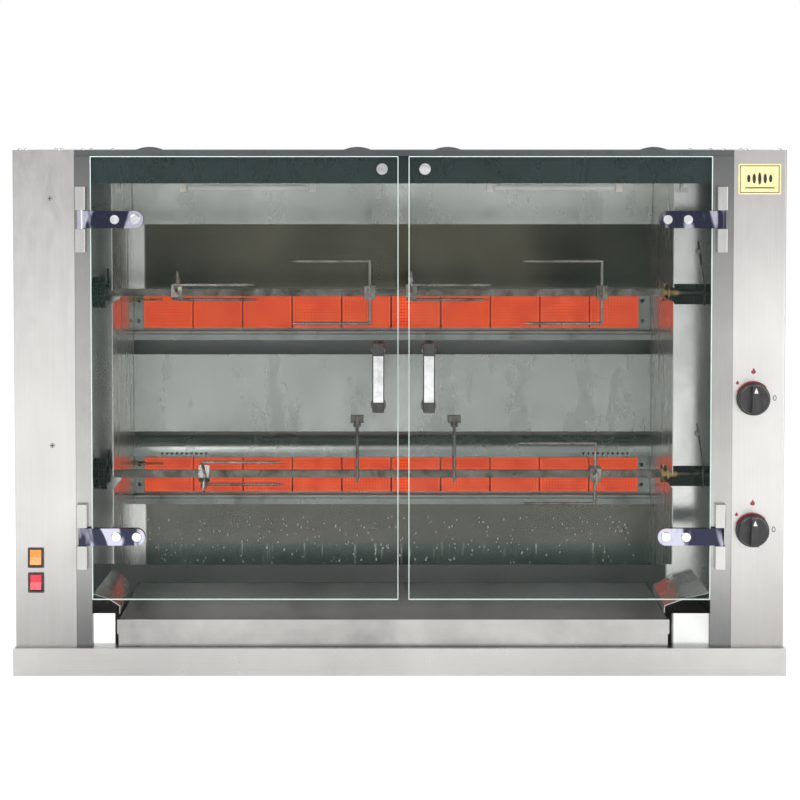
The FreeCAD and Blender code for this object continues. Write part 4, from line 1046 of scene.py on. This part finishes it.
class OVEN_OT_plate(bpy.types.Operator):
    """Prints a border and a plain grille mark on the enamelled plate"""
    bl_idname = "oven.plate"
    bl_label = "Enamelled plate"

    def execute(self, context):
        low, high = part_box("badge")
        front = low[1] - 0.00016
        back = low[1] + 0.0002
        cx, cz = (low[0] + high[0]) / 2, (low[2] + high[2]) / 2
        inset, line = 0.0026, 0.0011
        x0, x1 = low[0] + inset, high[0] - inset
        z0, z1 = low[2] + inset, high[2] - inset
        shape = bmesh.new()
        add_box(shape, (x0, front, z0), (x1, back, z0 + line))
        add_box(shape, (x0, front, z1 - line), (x1, back, z1))
        add_box(shape, (x0, front, z0), (x0 + line, back, z1))
        add_box(shape, (x1 - line, front, z0), (x1, back, z1))
        for k in range(5):
            x = cx + (k - 2) * 0.0088
            half = 0.0098 - 0.0018 * abs(k - 2)
            add_plate(shape, ellipse((x, cz + 0.001), 0.0027, half, 20), front, back)
        add_box(shape, (cx - 0.0235, front, cz - 0.0148), (cx + 0.0235, back, cz - 0.0130))
        fit_piece("plate_print", mesh_from("plate_print", shape), [finish("mark_black")],
                  "oven")
        return {"FINISHED"}


def belt_line(circles, clear, steps=72):
    """Closed line pulled tight round a set of (y, z, radius) circles, at a clearance."""
    points = []
    for x, z, radius in circles:
        for i in range(steps):
            turn = 2 * math.pi * i / steps
            reach = radius + clear
            points.append((round(x + reach * math.cos(turn), 7),
                           round(z + reach * math.sin(turn), 7)))
    points = sorted(set(points))
    hull = []
    for ordered in (points, list(reversed(points))):
        side = []
        for p in ordered:
            while len(side) > 1 and (
                    (side[-1][0] - side[-2][0]) * (p[1] - side[-2][1])
                    - (side[-1][1] - side[-2][1]) * (p[0] - side[-2][0])) <= 0:
                side.pop()
            side.append(p)
        hull += side[:-1]
    return hull


class OVEN_OT_drive_chain(bpy.types.Operator):
    """Makes the roller chain that drives both spits"""
    bl_idname = "oven.drive_chain"
    bl_label = "Drive chain"

    def execute(self, context):
        pitch = context.scene.oven_sizes.link_pitch
        low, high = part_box("drive_chain")
        circles = [(SPIT_Y, z, SPIT_SPROCKET_R) for z in SPIT_HEIGHTS]
        circles.append((MOTOR_Y, MOTOR_Z, MOTOR_SPROCKET_R))
        line = belt_line(circles, CHAIN_CLEARANCE)
        around = sum(math.dist(a, b) for a, b in zip(line, line[1:] + line[:1]))
        mesh = bpy.data.meshes.new("chain_line")
        mesh.from_pydata([(y, z, 0.0) for y, z in line],
                         [(i, (i + 1) % len(line)) for i in range(len(line))], [])
        links = round(around / pitch)
        real_pitch = around / links
        chain = grow("roller_chain", chain_tree(), mesh, {
            "Links": links,
            "Plate size": (0.0036, 0.0006, real_pitch * 1.08),
            "Plate gap": (0.0, 0.0018, real_pitch / 2),
            "Roller radius": 0.0017,
            "Roller length": 0.0044,
            "Place": ((low[0] + high[0]) / 2, 0.0, 0.0),
            "Finish": finish("oiled_iron"),
        })
        fit_piece("roller_chain", chain, (), "oven", ("drive_chain",))
        return {"FINISHED"}


class OVEN_OT_fat_drops(bpy.types.Operator):
    """Strews drops of fat on the wall just above the tray"""
    bl_idname = "oven.fat_drops"
    bl_label = "Fat drops"

    def execute(self, context):
        sizes = context.scene.oven_sizes
        y = WET_WALL_Y
        (x0, x1), (z0, z1) = WET_WALL_X, WET_WALL_Z
        wall = bpy.data.meshes.new("wet_wall")
        wall.from_pydata([(x0, y, z0), (x1, y, z0), (x1, y, z1), (x0, y, z1)], [],
                         [(0, 1, 2, 3)])
        area = (x1 - x0) * (z1 - z0)
        mesh = grow("fat_drops", drop_tree(), wall, {
            "Density": sizes.drop_count / area,
            "Radius": sizes.drop_radius,
            "Seed": 7,
            "Finish": finish("fat_drop"),
        })
        fit_piece("fat_drops", mesh, (), "oven")
        return {"FINISHED"}


class OVEN_OT_stage(bpy.types.Operator):
    """Sets the floor, the soft lights and the camera"""
    bl_idname = "oven.stage"
    bl_label = "Stage"

    def execute(self, context):
        scene = context.scene
        self.make_floor()
        self.make_sky(scene)
        self.add_softbox("key_light", (-1.7, -3.0, 2.7), (0.0, 0.0, 0.45), 2.4, 62.0)
        self.add_softbox("fill_light", (2.3, -3.2, 1.5), (0.0, 0.0, 0.45), 2.2, 30.0)
        self.add_softbox("top_light", (0.0, 0.4, 3.2), (0.0, 0.0, 0.4), 2.6, 40.0)
        self.add_camera(scene)
        return {"FINISHED"}

    def make_floor(self):
        """A wide pale floor with a trace of mottling."""
        material, tree, shader = start_finish("stage_floor", Roughness=0.7, Emission_Strength=0.30)
        cloud = noise(tree, (1.5, 1.5, 1.5), 3.0)
        tone = mixed(tree, ranged(tree, cloud, 0.3, 0.7), (0.86, 0.86, 0.86), (0.90, 0.90, 0.90))
        tree.links.new(tone, shader.inputs["Base Color"])
        tree.links.new(tone, shader.inputs["Emission Color"])
        mesh = bpy.data.meshes.new("floor")
        half = 40.0
        mesh.from_pydata([(-half, -half, 0.0), (half, -half, 0.0), (half, half, 0.0),
                          (-half, half, 0.0)], [], [(0, 1, 2, 3)])
        new_object("floor", mesh, [material])

    def make_sky(self, scene):
        """Even light from all round, a little weaker behind the camera."""
        world = bpy.data.worlds.new("studio")
        scene.world = world
        scene.view_settings.view_transform = "Standard"
        world.use_nodes = True
        tree = world.node_tree
        background = next(n for n in tree.nodes if n.type == "BACKGROUND")
        coords = add_node(tree, "ShaderNodeTexCoord")
        split = add_node(tree, "ShaderNodeSeparateXYZ")
        tree.links.new(coords.outputs["Generated"], split.inputs["Vector"])
        depth = ranged(tree, split.outputs["Y"], -0.9, 0.5, 0.0, 1.0, True)
        tone = mixed(tree, depth, (0.66, 0.67, 0.69), (1.0, 1.0, 1.0))
        tree.links.new(tone, background.inputs["Color"])
        background.inputs["Strength"].default_value = 1.0

    def add_softbox(self, name, place, aim, size, power):
        """A square area light turned to its aim."""
        light = bpy.data.lights.new(name, "AREA")
        light.shape = "SQUARE"
        light.size = size
        light.energy = power
        made = bpy.data.objects.new(name, light)
        bpy.context.scene.collection.objects.link(made)
        made.location = place
        made.rotation_euler = (Vector(aim) - Vector(place)).to_track_quat("-Z", "Y").to_euler()

    def add_camera(self, scene):
        """The viewing camera: level with the top, four metres in front of the columns."""
        camera = bpy.data.cameras.new("camera")
        camera.lens = 112.03
        camera.sensor_width = 36.0
        camera.shift_x = 0.016
        camera.shift_y = -0.16
        camera.clip_end = 200.0
        made = bpy.data.objects.new("camera", camera)
        scene.collection.objects.link(made)
        made.location = (-0.020, FRONT_Y - 4.0, 0.860)
        made.rotation_euler = (math.radians(90.0 - 2.95), 0.0, 0.0)
        scene.camera = made


STEPS = (
    OVEN_OT_finishes, OVEN_OT_door_glass, OVEN_OT_burner_tiles, OVEN_OT_knobs,
    OVEN_OT_screw_slots, OVEN_OT_plate, OVEN_OT_drive_chain, OVEN_OT_fat_drops, OVEN_OT_stage)


class OVEN_PT_panel(bpy.types.Panel):
    """Lists the oven's sizes, colours and pieces"""
    bl_idname = "OVEN_PT_panel"
    bl_label = "Rotisserie oven"
    bl_space_type = "VIEW_3D"
    bl_region_type = "UI"
    bl_category = "Oven"

    def draw(self, context):
        layout = self.layout
        for group in (context.scene.oven_sizes, context.scene.oven_colours):
            box = layout.box()
            for name in group.bl_rna.properties.keys():
                if name not in {"rna_type", "name"}:
                    box.prop(group, name)
        column = layout.column()
        for step in STEPS:
            column.operator(step.bl_idname)


CLASSES = (OvenSizes, OvenColours) + STEPS + (OVEN_PT_panel,)


def register():
    for cls in CLASSES:
        bpy.utils.register_class(cls)
    bpy.types.Scene.oven_sizes = PointerProperty(type=OvenSizes)
    bpy.types.Scene.oven_colours = PointerProperty(type=OvenColours)


def unregister():
    del bpy.types.Scene.oven_colours
    del bpy.types.Scene.oven_sizes
    for cls in reversed(CLASSES):
        bpy.utils.unregister_class(cls)


def main():
    """Makes every piece in order."""
    register()
    bpy.ops.oven.finishes()
    bpy.ops.oven.door_glass()
    bpy.ops.oven.burner_tiles()
    bpy.ops.oven.knobs()
    bpy.ops.oven.screw_slots()
    bpy.ops.oven.plate()
    bpy.ops.oven.drive_chain()
    bpy.ops.oven.fat_drops()
    bpy.ops.oven.stage()


if __name__ == "__main__":
    main()
